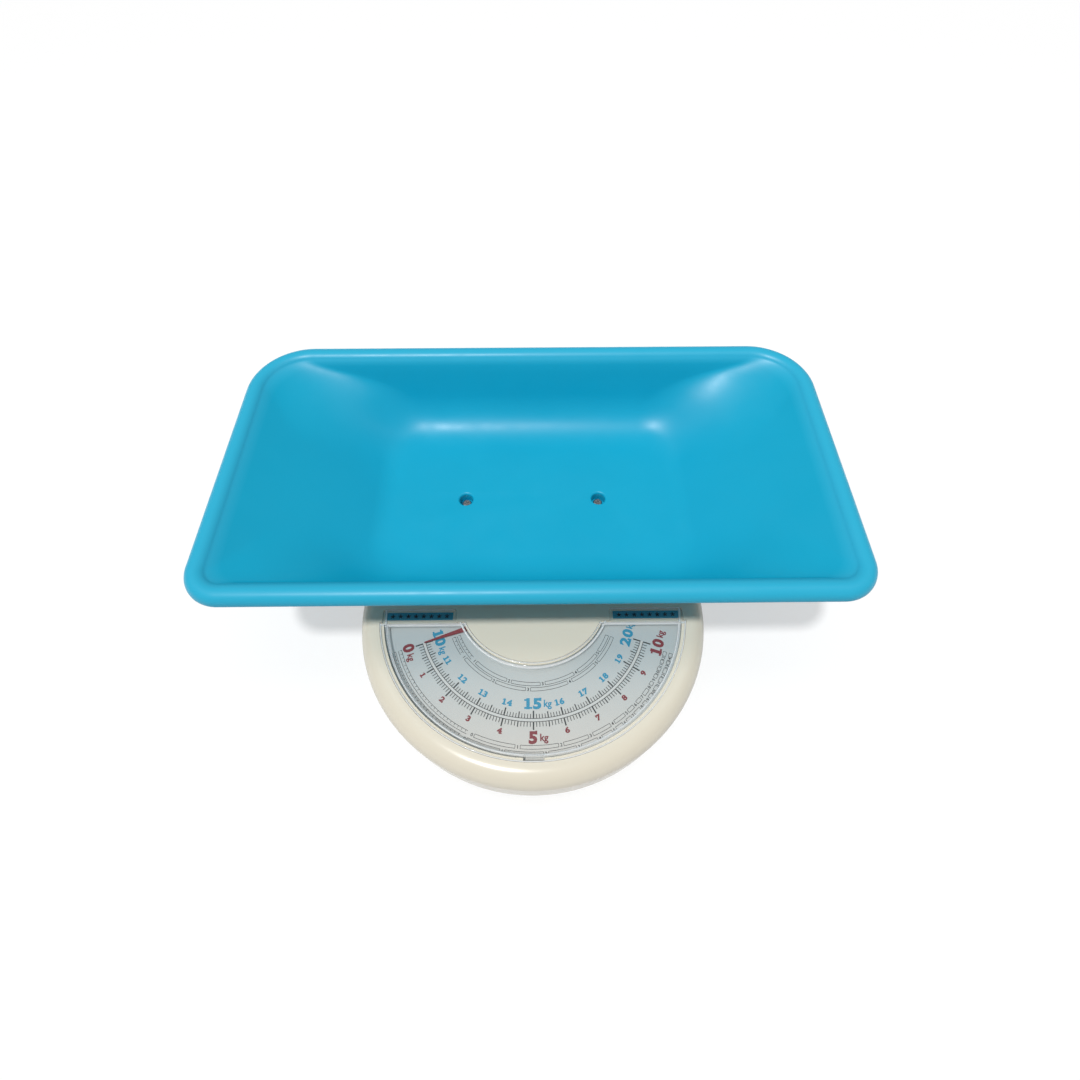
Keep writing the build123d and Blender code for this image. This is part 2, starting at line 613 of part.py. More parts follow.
# Bridge that carries the pointer shaft, with the lower bearing in it
with BuildPart() as shaft_bridge:
    with BuildSketch(Plane(origin=(0, DIAL_Y, 0), x_dir=(1, 0, 0), z_dir=(0, -1, 0))):
        with Locations((0, PAN_TOP)):
            Rectangle(2 * BRIDGE_HALF, BRIDGE_TOP - PAN_TOP, align=(Align.CENTER, Align.MIN))
            Rectangle(2 * BRIDGE_HALF + BRIDGE_FEET, EAR_THICKNESS, align=(Align.CENTER, Align.MIN))
            Rectangle(
                2 * (BRIDGE_HALF - EAR_THICKNESS),
                BRIDGE_TOP - EAR_THICKNESS - PAN_TOP,
                align=(Align.CENTER, Align.MIN),
                mode=Mode.SUBTRACT,
            )
    extrude(amount=BRIDGE_WIDTH / 2, both=True)
    with BuildSketch(dial_plane(BRIDGE_TOP - EAR_THICKNESS)):
        Circle(SHAFT_RADIUS + 2)
    extrude(amount=EAR_THICKNESS, mode=Mode.SUBTRACT)
    with BuildSketch(dial_plane(PAN_TOP)):
        with Locations((-BRIDGE_HALF - 7, 0), (BRIDGE_HALF + 7, 0)):
            Circle(SMALL_SCREW_RADIUS + SCREW_CLEARANCE)
    extrude(amount=EAR_THICKNESS, mode=Mode.SUBTRACT)
    fillet(shaft_bridge.edges().filter_by(Axis.Y).group_by(Axis.Z)[-1], 2.0)
save(shaft_bridge, "shaft_bridge")

with BuildPart() as lower_bearing:
    with BuildSketch(dial_plane(BRIDGE_TOP - EAR_THICKNESS - 1.5)):
        Circle(SHAFT_RADIUS + 2)
    extrude(amount=EAR_THICKNESS + 1.5)
    with BuildSketch(dial_plane(BRIDGE_TOP)):
        Circle(SHAFT_RADIUS + 3)
    extrude(amount=1.5)
    with BuildSketch(dial_plane(BRIDGE_TOP - EAR_THICKNESS - 1.5)):
        Circle(SHAFT_RADIUS + RUNNING_GAP)
    extrude(amount=EAR_THICKNESS + 3, mode=Mode.SUBTRACT)
save(lower_bearing, "lower_bearing")

with BuildPart() as upper_bearing:
    with BuildSketch(dial_plane(DIAL_Z - DIAL_THICKNESS)):
        Circle(SHAFT_RADIUS + 2)
    extrude(amount=DIAL_THICKNESS)
    with BuildSketch(dial_plane(DIAL_Z - DIAL_THICKNESS)):
        Circle(SHAFT_RADIUS + 3.5)
    extrude(amount=-1.5)
    with BuildSketch(dial_plane(DIAL_Z - DIAL_THICKNESS - 1.5)):
        Circle(SHAFT_RADIUS + RUNNING_GAP)
    extrude(amount=DIAL_THICKNESS + 1.5, mode=Mode.SUBTRACT)
save(upper_bearing, "upper_bearing")

# Fulcrum brackets: a foot and two notched ears for each lever's pivot knives
with BuildPart() as fulcrum_brackets:
    for pivot_x, pivot_y in PIVOT_POINTS:
        with BuildSketch(Plane(origin=(pivot_x, pivot_y, PAN_TOP))):
            RectangleRounded(2 * (EAR_GAP + EAR_THICKNESS), FOOT_LENGTH, 2)
        extrude(amount=BRACKET_PLATE)
        for side in (-1, 1):
            ear_x = pivot_x + side * (EAR_GAP + EAR_THICKNESS / 2)
            with BuildSketch(cross_plane(ear_x, pivot_y, LEVER_Z - SEAT_GAP)):
                with Locations((0, EAR_RISE)):
                    ear_height = LEVER_Z + EAR_RISE - PAN_TOP - SEAT_GAP
                    Rectangle(EAR_WIDTH, ear_height, align=(Align.CENTER, Align.MAX))
                add(notch_profile(True, NOTCH_DEPTH), mode=Mode.SUBTRACT)
            extrude(amount=EAR_THICKNESS / 2, both=True)
        with BuildSketch(Plane(origin=(pivot_x, pivot_y, PAN_TOP))):
            with Locations((0, -FULCRUM_SCREW_REACH), (0, FULCRUM_SCREW_REACH)):
                Circle(SMALL_SCREW_RADIUS + SCREW_CLEARANCE)
        extrude(amount=BRACKET_PLATE, mode=Mode.SUBTRACT)
save(fulcrum_brackets, "fulcrum_brackets")

# Main lever: two long arms, a cross bar and a tongue that reaches back to the spring
MAIN_FRONT = TRAY_Y - PIVOT_REACH - 7
TONGUE_END = NOSE_REACH + 6
with BuildPart() as main_lever:
    for side in (-1, 1):
        with BuildSketch(cross_plane(side * MAIN_ARM_X, MAIN_FRONT, LEVER_LOW)):
            Rectangle(TRAY_Y - MAIN_FRONT + CROSSBAR_WIDTH / 2, LEVER_DEPTH, align=(Align.MIN, Align.MIN))
        extrude(amount=LEVER_THICKNESS / 2, both=True)
    fillet(main_lever.edges().filter_by(Axis.X), 3.0)
    with BuildSketch(tray_plane(LEVER_LOW)):
        Rectangle(2 * MAIN_ARM_X, CROSSBAR_WIDTH)
        with Locations((0, -NOSE_REACH)):
            Rectangle(2 * MAIN_ARM_X, CROSSBAR_WIDTH)
    extrude(amount=CROSSBAR_HEIGHT)
    with BuildSketch(tray_plane(LEVER_LOW + 0.5)):
        with Locations((0, -CROSSBAR_WIDTH / 2)):
            Rectangle(TONGUE_WIDTH, TONGUE_END + CROSSBAR_WIDTH / 2, align=(Align.CENTER, Align.MIN))
    extrude(amount=LEVER_DEPTH - 2)
    for side in (-1, 1):
        for reach, tip_up in ((-PIVOT_REACH, False), (-PIVOT_REACH + LOAD_ARM, True)):
            with BuildSketch(cross_plane(side * MAIN_ARM_X, TRAY_Y + reach, LEVER_Z)):
                add(knife_profile(tip_up))
            extrude(amount=LEVER_THICKNESS, both=True, mode=Mode.SUBTRACT)
save(main_lever, "main_lever")

# Short lever: two arms whose noses bear on the main lever's cross bar, tied by a strip
SHORT_BACK = PIVOT_REACH + 7
NOSE_TIP_Z = LEVER_LOW + CROSSBAR_HEIGHT + SEAT_GAP
STRIP_THICKNESS = 2.5
STRIP_WIDTH = 10.0
with BuildPart() as short_lever:
    for side in (-1, 1):
        with BuildSketch(cross_plane(side * SHORT_ARM_X, TRAY_Y, 0)):
            with BuildLine():
                Polyline(
                    (-4, LEVER_HIGH),
                    (-4, NOSE_TIP_Z + 2.2),
                    (-0.8, NOSE_TIP_Z),
                    (0.8, NOSE_TIP_Z),
                    (4, NOSE_TIP_Z + 2.2),
                    (9, NOSE_TIP_Z + 2.2),
                    (14, LEVER_LOW),
                    (SHORT_BACK, LEVER_LOW),
                    (SHORT_BACK, LEVER_HIGH),
                    close=True,
                )
            make_face()
        extrude(amount=LEVER_THICKNESS / 2, both=True)
    fillet(short_lever.edges().filter_by(Axis.X).group_by(Axis.Y)[-1], 3.0)
    with BuildSketch(tray_plane(LEVER_HIGH)):
        with Locations((0, 1)):
            Rectangle(2 * SHORT_ARM_X + LEVER_THICKNESS, STRIP_WIDTH, align=(Align.CENTER, Align.MIN))
    extrude(amount=STRIP_THICKNESS)
    for side in (-1, 1):
        for reach, tip_up in ((PIVOT_REACH, False), (PIVOT_REACH - LOAD_ARM, True)):
            with BuildSketch(cross_plane(side * SHORT_ARM_X, TRAY_Y + reach, LEVER_Z)):
                add(knife_profile(tip_up))
            extrude(amount=LEVER_THICKNESS, both=True, mode=Mode.SUBTRACT)
save(short_lever, "short_lever")

# Hardened knife edges pressed through the lever arms
with BuildPart() as main_knives:
    for side in (-1, 1):
        for reach, tip_up in ((-PIVOT_REACH, False), (-PIVOT_REACH + LOAD_ARM, True)):
            with BuildSketch(cross_plane(side * MAIN_ARM_X, TRAY_Y + reach, LEVER_Z)):
                add(knife_profile(tip_up))
            extrude(amount=KNIFE_LENGTH / 2, both=True)
save(main_knives, "main_knives")

with BuildPart() as short_knives:
    for side in (-1, 1):
        for reach, tip_up in ((PIVOT_REACH, False), (PIVOT_REACH - LOAD_ARM, True)):
            with BuildSketch(cross_plane(side * SHORT_ARM_X, TRAY_Y + reach, LEVER_Z)):
                add(knife_profile(tip_up))
            extrude(amount=KNIFE_LENGTH / 2, both=True)
save(short_knives, "short_knives")

# Load bearings: notched steel saddles at the feet of the platform's posts
SADDLE_LOW = LEVER_Z - 5
SADDLE_TOP = LEVER_HIGH + 5
with BuildPart() as load_saddles:
    for load_x, load_y in LOAD_POINTS:
        with BuildSketch(Plane(origin=(load_x, load_y, SADDLE_LOW))):
            Rectangle(BEARING_LENGTH, BEARING_WIDTH)
        extrude(amount=SADDLE_TOP - SADDLE_LOW)
        with BuildSketch(Plane(origin=(load_x, load_y, SADDLE_LOW))):
            Rectangle(LEVER_THICKNESS + 1.6, BEARING_WIDTH)
        extrude(amount=LEVER_HIGH + 1.5 - SADDLE_LOW, mode=Mode.SUBTRACT)
        with BuildSketch(cross_plane(load_x, load_y, LEVER_Z + SEAT_GAP)):
            add(notch_profile(False, NOTCH_DEPTH))
        extrude(amount=BEARING_LENGTH, both=True, mode=Mode.SUBTRACT)
save(load_saddles, "load_saddles")

# Platform: a skirted plate over the housing, with ribs and four posts down to the saddles
PLATFORM_LENGTH = 2 * (MAIN_ARM_X + PLATFORM_MARGIN_X)
PLATFORM_WIDTH = 2 * (PIVOT_REACH - LOAD_ARM + PLATFORM_MARGIN_Y)
with BuildPart() as platform:
    with BuildSketch(tray_plane(PLATFORM_LOW)):
        RectangleRounded(PLATFORM_LENGTH, PLATFORM_WIDTH, 12)
    extrude(amount=PLATFORM_HEIGHT)
    fillet(platform.edges().group_by(Axis.Z)[-1], 2.5)
    with BuildSketch(tray_plane(PLATFORM_LOW)):
        RectangleRounded(PLATFORM_LENGTH - 2 * WALL, PLATFORM_WIDTH - 2 * WALL, 12 - WALL)
    extrude(amount=PLATFORM_HEIGHT - WALL, mode=Mode.SUBTRACT)
    with BuildSketch(tray_plane(PLATFORM_LOW + 2)):
        with Locations((0, -LOAD_ARM), (0, LOAD_ARM)):
            Rectangle(PLATFORM_LENGTH - 2 * WALL, 2)
        with GridLocations(MAIN_ARM_X, 0, 3, 1):
            Rectangle(2, PLATFORM_WIDTH - 2 * WALL)
    extrude(amount=PLATFORM_HEIGHT - 3)
    with BuildSketch(Plane.XY.offset(SADDLE_TOP)):
        with Locations(*LOAD_POINTS):
            Circle(POST_RADIUS)
    extrude(amount=PLATFORM_TOP - WALL - SADDLE_TOP)
    with BuildSketch(tray_plane(PLATFORM_TOP)):
        with Locations((-CUP_SPACING / 2, 0), (CUP_SPACING / 2, 0)):
            Circle(TRAY_SCREW_RADIUS + SCREW_CLEARANCE)
    extrude(amount=-PLATFORM_HEIGHT, mode=Mode.SUBTRACT)
save(platform, "platform")

# Tray: a basin with sloping ends, a rolled lip and two screw cups in its floor
WELL_LENGTH = TRAY_LENGTH - 2 * LIP_WIDTH
WELL_WIDTH = TRAY_WIDTH - 2 * LIP_WIDTH
WELL_FRONT = RIM_CORNER_FRONT - LIP_WIDTH
WELL_BACK = RIM_CORNER_BACK - LIP_WIDTH
CUP_PLACES = [(-CUP_SPACING / 2, 0), (CUP_SPACING / 2, 0)]
with BuildPart() as tray_lip:
    with BuildSketch(tray_plane(RIM_Z - LIP_DROP)):
        add(tray_outline(TRAY_LENGTH, TRAY_WIDTH, RIM_CORNER_FRONT, RIM_CORNER_BACK))
    extrude(amount=LIP_DROP)
    fillet(tray_lip.edges().group_by(Axis.Z)[-1], LIP_ROUND)
    with BuildSketch(tray_plane(RIM_Z - LIP_DROP)):
        add(
            tray_outline(
                TRAY_LENGTH - 2 * TRAY_WALL,
                TRAY_WIDTH - 2 * TRAY_WALL,
                RIM_CORNER_FRONT - TRAY_WALL,
                RIM_CORNER_BACK - TRAY_WALL,
            )
        )
    hollow = extrude(amount=LIP_DROP - TRAY_WALL, mode=Mode.PRIVATE)
    add(hollow.fillet(LIP_ROUND - TRAY_WALL, hollow.edges().group_by(Axis.Z)[-1]), mode=Mode.SUBTRACT)

with BuildPart() as tray_well:
    for level_z, level_plan in tray_levels(0, 0):
        with BuildSketch(tray_plane(level_z)):
            add(level_plan)
    loft(ruled=True)

with BuildPart() as tray:
    for level_z, level_plan in tray_levels(TRAY_WALL, TRAY_WALL):
        with BuildSketch(tray_plane(level_z)):
            add(level_plan)
    loft(ruled=True)
    add(tray_lip.part)
    with BuildSketch(tray_plane(PLATFORM_TOP)):
        with Locations(*CUP_PLACES):
            Circle(CUP_BORE / 2 + CUP_WALL)
    extrude(amount=FLOOR_Z - TRAY_WALL / 2 - PLATFORM_TOP)
    # Ribs under the floor, which rest on the platform with the cups
    with BuildSketch(tray_plane(PLATFORM_TOP)):
        Rectangle(PLATFORM_LENGTH - 20, TRAY_RIB)
        with Locations(*CUP_PLACES):
            Rectangle(TRAY_RIB, PLATFORM_WIDTH - 16)
    extrude(amount=FLOOR_Z - TRAY_WALL / 2 - PLATFORM_TOP)
    add(tray_well.part, mode=Mode.SUBTRACT)
    rim_face = tray.faces().filter_by(GeomType.PLANE).sort_by(Axis.Z)[-1]
    fillet(rim_face.inner_wires()[0].edges(), LIP_INNER_ROUND)
    with BuildSketch(tray_plane(FLOOR_Z)):
        with Locations(*CUP_PLACES):
            Circle(CUP_BORE / 2)
    extrude(amount=-CUP_DEPTH, mode=Mode.SUBTRACT)
    with BuildSketch(tray_plane(FLOOR_Z)):
        with Locations(*CUP_PLACES):
            Circle(TRAY_SCREW_RADIUS + SCREW_CLEARANCE)
    extrude(amount=-CUP_DEPTH - CUP_WALL, mode=Mode.SUBTRACT)
save(tray, "tray")

# Tray screws with cross-recessed heads in the cups, and their nuts under the platform
SCREW_HEAD_Z = PLATFORM_TOP + CUP_WALL
SCREW_END_Z = PLATFORM_LOW + 0.8
with BuildPart() as tray_screws:
    with BuildSketch(tray_plane(SCREW_HEAD_Z)):
        with Locations(*CUP_PLACES):
            Circle(TRAY_HEAD_RADIUS)
    extrude(amount=TRAY_HEAD_HEIGHT)
    fillet(tray_screws.edges().group_by(Axis.Z)[-1], TRAY_HEAD_HEIGHT / 2)
    with BuildSketch(tray_plane(SCREW_HEAD_Z + TRAY_HEAD_HEIGHT)):
        with Locations(*CUP_PLACES):
            Rectangle(TRAY_RECESS[0], TRAY_RECESS[1], rotation=RECESS_TURN)
            Rectangle(TRAY_RECESS[1], TRAY_RECESS[0], rotation=RECESS_TURN)
    extrude(amount=-TRAY_RECESS[2], mode=Mode.SUBTRACT)
    with BuildSketch(tray_plane(SCREW_HEAD_Z)):
        with Locations(*CUP_PLACES):
            Circle(TRAY_SCREW_RADIUS)
    extrude(amount=SCREW_END_Z - SCREW_HEAD_Z)
save(tray_screws, "tray_screws")

with BuildPart() as tray_nuts:
    with BuildSketch(tray_plane(PLATFORM_TOP - WALL)):
        with Locations(*CUP_PLACES):
            RegularPolygon(NUT_APOTHEM, 6, major_radius=False)
            Circle(TRAY_SCREW_RADIUS + RUNNING_GAP, mode=Mode.SUBTRACT)
    extrude(amount=-NUT_HEIGHT)
save(tray_nuts, "tray_nuts")

# Spring plate: hangs on the spring, carries the main lever's tongue, and its ear turns the crank
EAR_LOW = CRANK_Z + NOSE_TRAVEL / 2 + CRANK_NOSE_RADIUS + SEAT_GAP
PLATE_LOW = LEVER_LOW - 2.0
WINDOW_LOW = LEVER_LOW + 0.5 - SEAT_GAP
WINDOW_HIGH = LEVER_HIGH + 1.5
PLATE_HIGH = WINDOW_HIGH + 5
HOOK_Z = WINDOW_HIGH + 2.6
HOOK_HOLE = SPRING_WIRE + 0.3
with BuildPart() as spring_plate:
    with BuildSketch(Plane(origin=(0, NOSE_Y, 0), x_dir=(1, 0, 0), z_dir=(0, -1, 0))):
        with Locations((0, PLATE_LOW)):
            Rectangle(PLATE_WIDTH, PLATE_HIGH - PLATE_LOW, align=(Align.CENTER, Align.MIN))
        with Locations((0, WINDOW_LOW)):
            Rectangle(
                TONGUE_WIDTH + 2.4,
                WINDOW_HIGH - WINDOW_LOW,
                align=(Align.CENTER, Align.MIN),
                mode=Mode.SUBTRACT,
            )
        with Locations((0, HOOK_Z)):
            Circle(HOOK_HOLE, mode=Mode.SUBTRACT)
    extrude(amount=PLATE_THICKNESS / 2, both=True)
    with BuildSketch(Plane(origin=(0, NOSE_Y, EAR_LOW))):
        with Locations((PLATE_WIDTH / 2 - 1, 0)):
            ear_length = CRANK_X + 3 - PLATE_WIDTH / 2 + 1
            Rectangle(ear_length, PLATE_EAR_WIDTH, align=(Align.MIN, Align.CENTER))
    extrude(amount=PLATE_THICKNESS)
save(spring_plate, "spring_plate")

# Spring bracket: foot, upright and a flange with the hole that the spring hangs from
with BuildPart() as spring_bracket:
    with BuildSketch(cross_plane(0, UPRIGHT_Y, 0)):
        with Locations((0, PAN_TOP)):
            Rectangle(EAR_THICKNESS, HANGER_Z - PAN_TOP, align=(Align.MIN, Align.MIN))
            Rectangle(SPRING_BRACKET_FOOT, EAR_THICKNESS, align=(Align.MAX, Align.MIN))
        with Locations((EAR_THICKNESS, HANGER_Z)):
            Rectangle(UPRIGHT_Y - NOSE_Y + 7 + EAR_THICKNESS, HANGER_THICKNESS, align=(Align.MAX, Align.MAX))
    extrude(amount=SPRING_BRACKET_WIDTH / 2, both=True)
    with BuildSketch(Plane(origin=(0, NOSE_Y, HANGER_Z))):
        Circle(HOOK_HOLE)
    extrude(amount=-HANGER_THICKNESS, mode=Mode.SUBTRACT)
    with BuildSketch(Plane(origin=(0, SPRING_SCREW_Y, PAN_TOP))):
        with Locations((-SPRING_SCREW_X, 0), (SPRING_SCREW_X, 0)):
            Circle(SMALL_SCREW_RADIUS + SCREW_CLEARANCE)
    extrude(amount=EAR_THICKNESS, mode=Mode.SUBTRACT)
save(spring_bracket, "spring_bracket")

# Main spring: a close coil with a hook at each end, one unbroken wire
COIL_LOW = PLATE_HIGH + 1.6
COIL_HIGH = HANGER_Z - HANGER_THICKNESS - 1.6
HOOK_FRONT = -PLATE_THICKNESS / 2 - SPRING_WIRE - 0.2
with BuildPart() as main_spring:
    with BuildLine() as coil_path:
        coil = Helix(
            pitch=(COIL_HIGH - COIL_LOW) / SPRING_TURNS,
            height=COIL_HIGH - COIL_LOW,
            radius=SPRING_RADIUS,
            center=(0, NOSE_Y, COIL_LOW),
        )
    with BuildSketch(Plane(origin=coil @ 0, z_dir=coil % 0)):
        RegularPolygon(SPRING_WIRE, 8)
    sweep(path=coil_path.wires()[0], is_frenet=True)
    with BuildLine() as top_hook:
        FilletPolyline(
            (SPRING_RADIUS, NOSE_Y, COIL_HIGH),
            (0, NOSE_Y, COIL_HIGH),
            (0, NOSE_Y, HANGER_Z + SPRING_WIRE + 0.1),
            (0, NOSE_Y - 5, HANGER_Z + SPRING_WIRE + 0.1),
            radius=1.0,
        )
    with BuildSketch(Plane(origin=top_hook.line @ 0, z_dir=top_hook.line % 0)):
        Circle(SPRING_WIRE * 0.9)
    sweep(path=top_hook.line)
    with BuildLine() as low_hook:
        FilletPolyline(
            (SPRING_RADIUS, NOSE_Y, COIL_LOW),
            (0, NOSE_Y + HOOK_FRONT, COIL_LOW),
            (0, NOSE_Y + HOOK_FRONT, HOOK_Z),
            (0, NOSE_Y + 3, HOOK_Z),
            radius=1.0,
        )
    with BuildSketch(Plane(origin=low_hook.line @ 0, z_dir=low_hook.line % 0)):
        Circle(SPRING_WIRE * 0.9)
    sweep(path=low_hook.line)
save(main_spring, "main_spring")

# Bell crank: turned by the plate's ear, it draws the rack back with its fork
CRANK_TILT = degrees(CRANK_TURN) / 2
crank_face = Plane(
    origin=(CRANK_X - CRANK_THICKNESS / 2, CRANK_Y, CRANK_Z),
    x_dir=(0, cos(radians(CRANK_TILT)), sin(radians(CRANK_TILT))),
    z_dir=(1, 0, 0),
)
with BuildPart() as bell_crank:
    with BuildSketch(crank_face):
        Circle(4.5)
        with Locations((CRANK_REACH / 2, 0)):
            SlotCenterToCenter(CRANK_REACH, CRANK_ARM_WIDTH)
        with Locations((CRANK_REACH, 0)):
            Circle(CRANK_NOSE_RADIUS)
        with Locations((0, 0)):
            Rectangle(8, CRANK_RISE + 5, align=(Align.CENTER, Align.MIN))
        Circle(PIN_RADIUS + RUNNING_GAP, mode=Mode.SUBTRACT)
        with Locations((0, CRANK_RISE - RACK_PIN_RADIUS - 0.8)):
            Rectangle(2 * FORK_HALF, 12, align=(Align.CENTER, Align.MIN), mode=Mode.SUBTRACT)
    extrude(amount=CRANK_THICKNESS)
save(bell_crank, "bell_crank")

CRANK_EAR_GAP = CRANK_THICKNESS / 2 + 0.4
with BuildPart() as crank_bracket:
    with BuildSketch(Plane(origin=(CRANK_X, CRANK_Y, PAN_TOP))):
        Rectangle(2 * (CRANK_EAR_GAP + CRANK_EAR), CRANK_FOOT_LENGTH)
        with Locations((0, -CRANK_SCREW_REACH), (0, CRANK_SCREW_REACH)):
            Circle(SMALL_SCREW_RADIUS + SCREW_CLEARANCE, mode=Mode.SUBTRACT)
    extrude(amount=CRANK_FOOT_PLATE)
    for side in (-1, 1):
        with BuildSketch(cross_plane(CRANK_X + side * (CRANK_EAR_GAP + CRANK_EAR / 2), CRANK_Y, CRANK_Z)):
            Circle(4)
            Rectangle(8, CRANK_Z - PAN_TOP, align=(Align.CENTER, Align.MAX))
            Circle(PIN_RADIUS, mode=Mode.SUBTRACT)
        extrude(amount=CRANK_EAR / 2, both=True)
save(crank_bracket, "crank_bracket")

with BuildPart() as crank_pin:
    with BuildSketch(cross_plane(CRANK_X, CRANK_Y, CRANK_Z)):
        Circle(PIN_RADIUS)
    extrude(amount=CRANK_EAR_GAP + CRANK_EAR, both=True)
    with BuildSketch(cross_plane(CRANK_X + CRANK_EAR_GAP + CRANK_EAR, CRANK_Y, CRANK_Z)):
        Circle(PIN_RADIUS + 1)
    extrude(amount=1.0)
save(crank_pin, "crank_pin")

# Rack: trapezoid teeth at the front, a long bar, and a pin in the crank's fork
TOOTH_PITCH = pi * GEAR_MODULE
RACK_LINE = PITCH_RADIUS + RUNNING_GAP
RACK_ROOT = RACK_LINE + 1.25 * GEAR_MODULE
RACK_SIDE = RACK_LINE + RACK_WIDTH
RACK_TEETH_BEHIND = 2
RACK_TEETH = RACK_TEETH_BEHIND + 1 + int(RACK_TRAVEL / TOOTH_PITCH) + 2
RACK_PIN_Y = CRANK_Y - RACK_TRAVEL / 2
flank = tan(radians(PRESSURE_ANGLE))
tip_half = TOOTH_PITCH / 4 - BACKLASH / 2 - RACK_ADDENDUM * flank
root_half = TOOTH_PITCH / 4 - BACKLASH / 2 + 1.25 * GEAR_MODULE * flank
with BuildPart() as rack:
    with BuildSketch(dial_plane(RACK_Z - RACK_HEIGHT / 2)):
        with BuildLine():
            rack_front = -(RACK_TEETH - RACK_TEETH_BEHIND) * TOOTH_PITCH
            Polyline(
                (RACK_ROOT, rack_front),
                (RACK_SIDE, rack_front),
                (RACK_SIDE, RACK_PIN_Y - DIAL_Y + 3),
                (RACK_ROOT, RACK_PIN_Y - DIAL_Y + 3),
                close=True,
            )
        make_face()
        for tooth in range(-RACK_TEETH + RACK_TEETH_BEHIND + 1, RACK_TEETH_BEHIND + 1):
            middle = tooth * TOOTH_PITCH
            with BuildLine():
                Polyline(
                    (RACK_ROOT, middle - root_half),
                    (RACK_LINE - RACK_ADDENDUM, middle - tip_half),
                    (RACK_LINE - RACK_ADDENDUM, middle + tip_half),
                    (RACK_ROOT, middle + root_half),
                    close=True,
                )
            make_face()
    extrude(amount=RACK_HEIGHT)
save(rack, "rack")

with BuildPart() as rack_pin:
    with BuildSketch(cross_plane(RACK_SIDE, RACK_PIN_Y, RACK_Z)):
        Circle(RACK_PIN_RADIUS)
    extrude(amount=CRANK_X + CRANK_THICKNESS / 2 + 1.5 - RACK_SIDE)
save(rack_pin, "rack_pin")

# Guide on the bridge that keeps the rack against the pinion
GUIDE_GAP = 0.15
GUIDE_START = SHAFT_RADIUS + 3.5
with BuildPart() as rack_guide:
    with BuildSketch(Plane(origin=(0, DIAL_Y, 0), x_dir=(1, 0, 0), z_dir=(0, -1, 0))):
        with Locations((GUIDE_START, BRIDGE_TOP)):
            guide_width = RACK_SIDE + 4 - GUIDE_START
            guide_height = RACK_Z + RACK_HEIGHT / 2 + 2 - BRIDGE_TOP
            Rectangle(guide_width, guide_height, align=(Align.MIN, Align.MIN))
        with Locations((RACK_ROOT, RACK_Z)):
            slot_width = RACK_SIDE + GUIDE_GAP - RACK_ROOT
            slot_height = RACK_HEIGHT + 2 * GUIDE_GAP
            Rectangle(slot_width, slot_height, align=(Align.MIN, Align.CENTER), mode=Mode.SUBTRACT)
    extrude(amount=6, both=True)
save(rack_guide, "rack_guide")

# Pinion with involute teeth, a gap between teeth facing the rack
BASE_CIRCLE = PITCH_RADIUS * cos(radians(PRESSURE_ANGLE))
TIP_CIRCLE = PITCH_RADIUS + GEAR_MODULE
ROOT_CIRCLE = PITCH_RADIUS - 1.1 * GEAR_MODULE


def involute(radius):
    """Angle by which an involute flank has turned at this radius."""
    pressure = acos(min(1.0, BASE_CIRCLE / radius))
    return tan(pressure) - pressure


def tooth_outline(centre):
    """Points of one tooth, up one flank and down the other."""
    half_pitch = pi / (2 * PINION_TEETH) + involute(PITCH_RADIUS) - BACKLASH / (4 * PITCH_RADIUS)
    steps = [BASE_CIRCLE + (TIP_CIRCLE - BASE_CIRCLE) * k / 3 for k in range(4)]
    rising = [(ROOT_CIRCLE, half_pitch)] + [(r, half_pitch - involute(r)) for r in steps]
    points = [(r, centre - a) for r, a in rising] + [(r, centre + a) for r, a in reversed(rising)]
    return [(r * cos(a), r * sin(a)) for r, a in points]


PINION_LOW = RACK_Z - RACK_HEIGHT / 2 - 0.5
PINION_HIGH = RACK_Z + RACK_HEIGHT / 2 + 0.5
with BuildPart() as pinion:
    with BuildSketch(dial_plane(PINION_LOW)):
        with BuildLine():
            outline = []
            for tooth in range(PINION_TEETH):
                outline += tooth_outline(2 * pi * (tooth + 0.5) / PINION_TEETH)
            Polyline(*outline, close=True)
        make_face()
        Circle(1.5, mode=Mode.SUBTRACT)
    extrude(amount=PINION_HIGH - PINION_LOW)
save(pinion, "pinion")

# Pointer shaft: necked down where the pinion is pressed on, with a thrust collar below it
HUB_LOW = DIAL_Z + 0.6
ARM_Z = DIAL_Z + POINTER_LIFT
SHAFT_TOP = ARM_Z + 2 * POINTER_THICKNESS + 0.8
with BuildPart() as pointer_shaft:
    with BuildSketch(dial_plane(BRIDGE_TOP - EAR_THICKNESS - 2)):
        Circle(SHAFT_RADIUS)
    extrude(amount=PINION_LOW - BRIDGE_TOP + EAR_THICKNESS + 2)
    with BuildSketch(dial_plane(BRIDGE_TOP + 1.5 + SEAT_GAP)):
        Circle(SHAFT_RADIUS + 0.3)
    extrude(amount=PINION_LOW - BRIDGE_TOP - 1.5 - SEAT_GAP)
    with BuildSketch(dial_plane(PINION_LOW)):
        Circle(1.5)
    extrude(amount=PINION_HIGH - PINION_LOW)
    with BuildSketch(dial_plane(PINION_HIGH)):
        Circle(SHAFT_RADIUS)
    extrude(amount=SHAFT_TOP - PINION_HIGH)
save(pointer_shaft, "pointer_shaft")

with BuildPart() as pointer_hub:
    with BuildSketch(dial_plane(HUB_LOW)):
        Circle(HUB_RADIUS)
    extrude(amount=ARM_Z - HUB_LOW)
    with BuildSketch(dial_plane(ARM_Z)):
        Circle(HUB_RADIUS / 2)
    extrude(amount=2 * POINTER_THICKNESS + 0.4)
    with BuildSketch(dial_plane(HUB_LOW)):
        Circle(SHAFT_RADIUS)
    extrude(amount=SHAFT_TOP - HUB_LOW, mode=Mode.SUBTRACT)
save(pointer_hub, "pointer_hub")


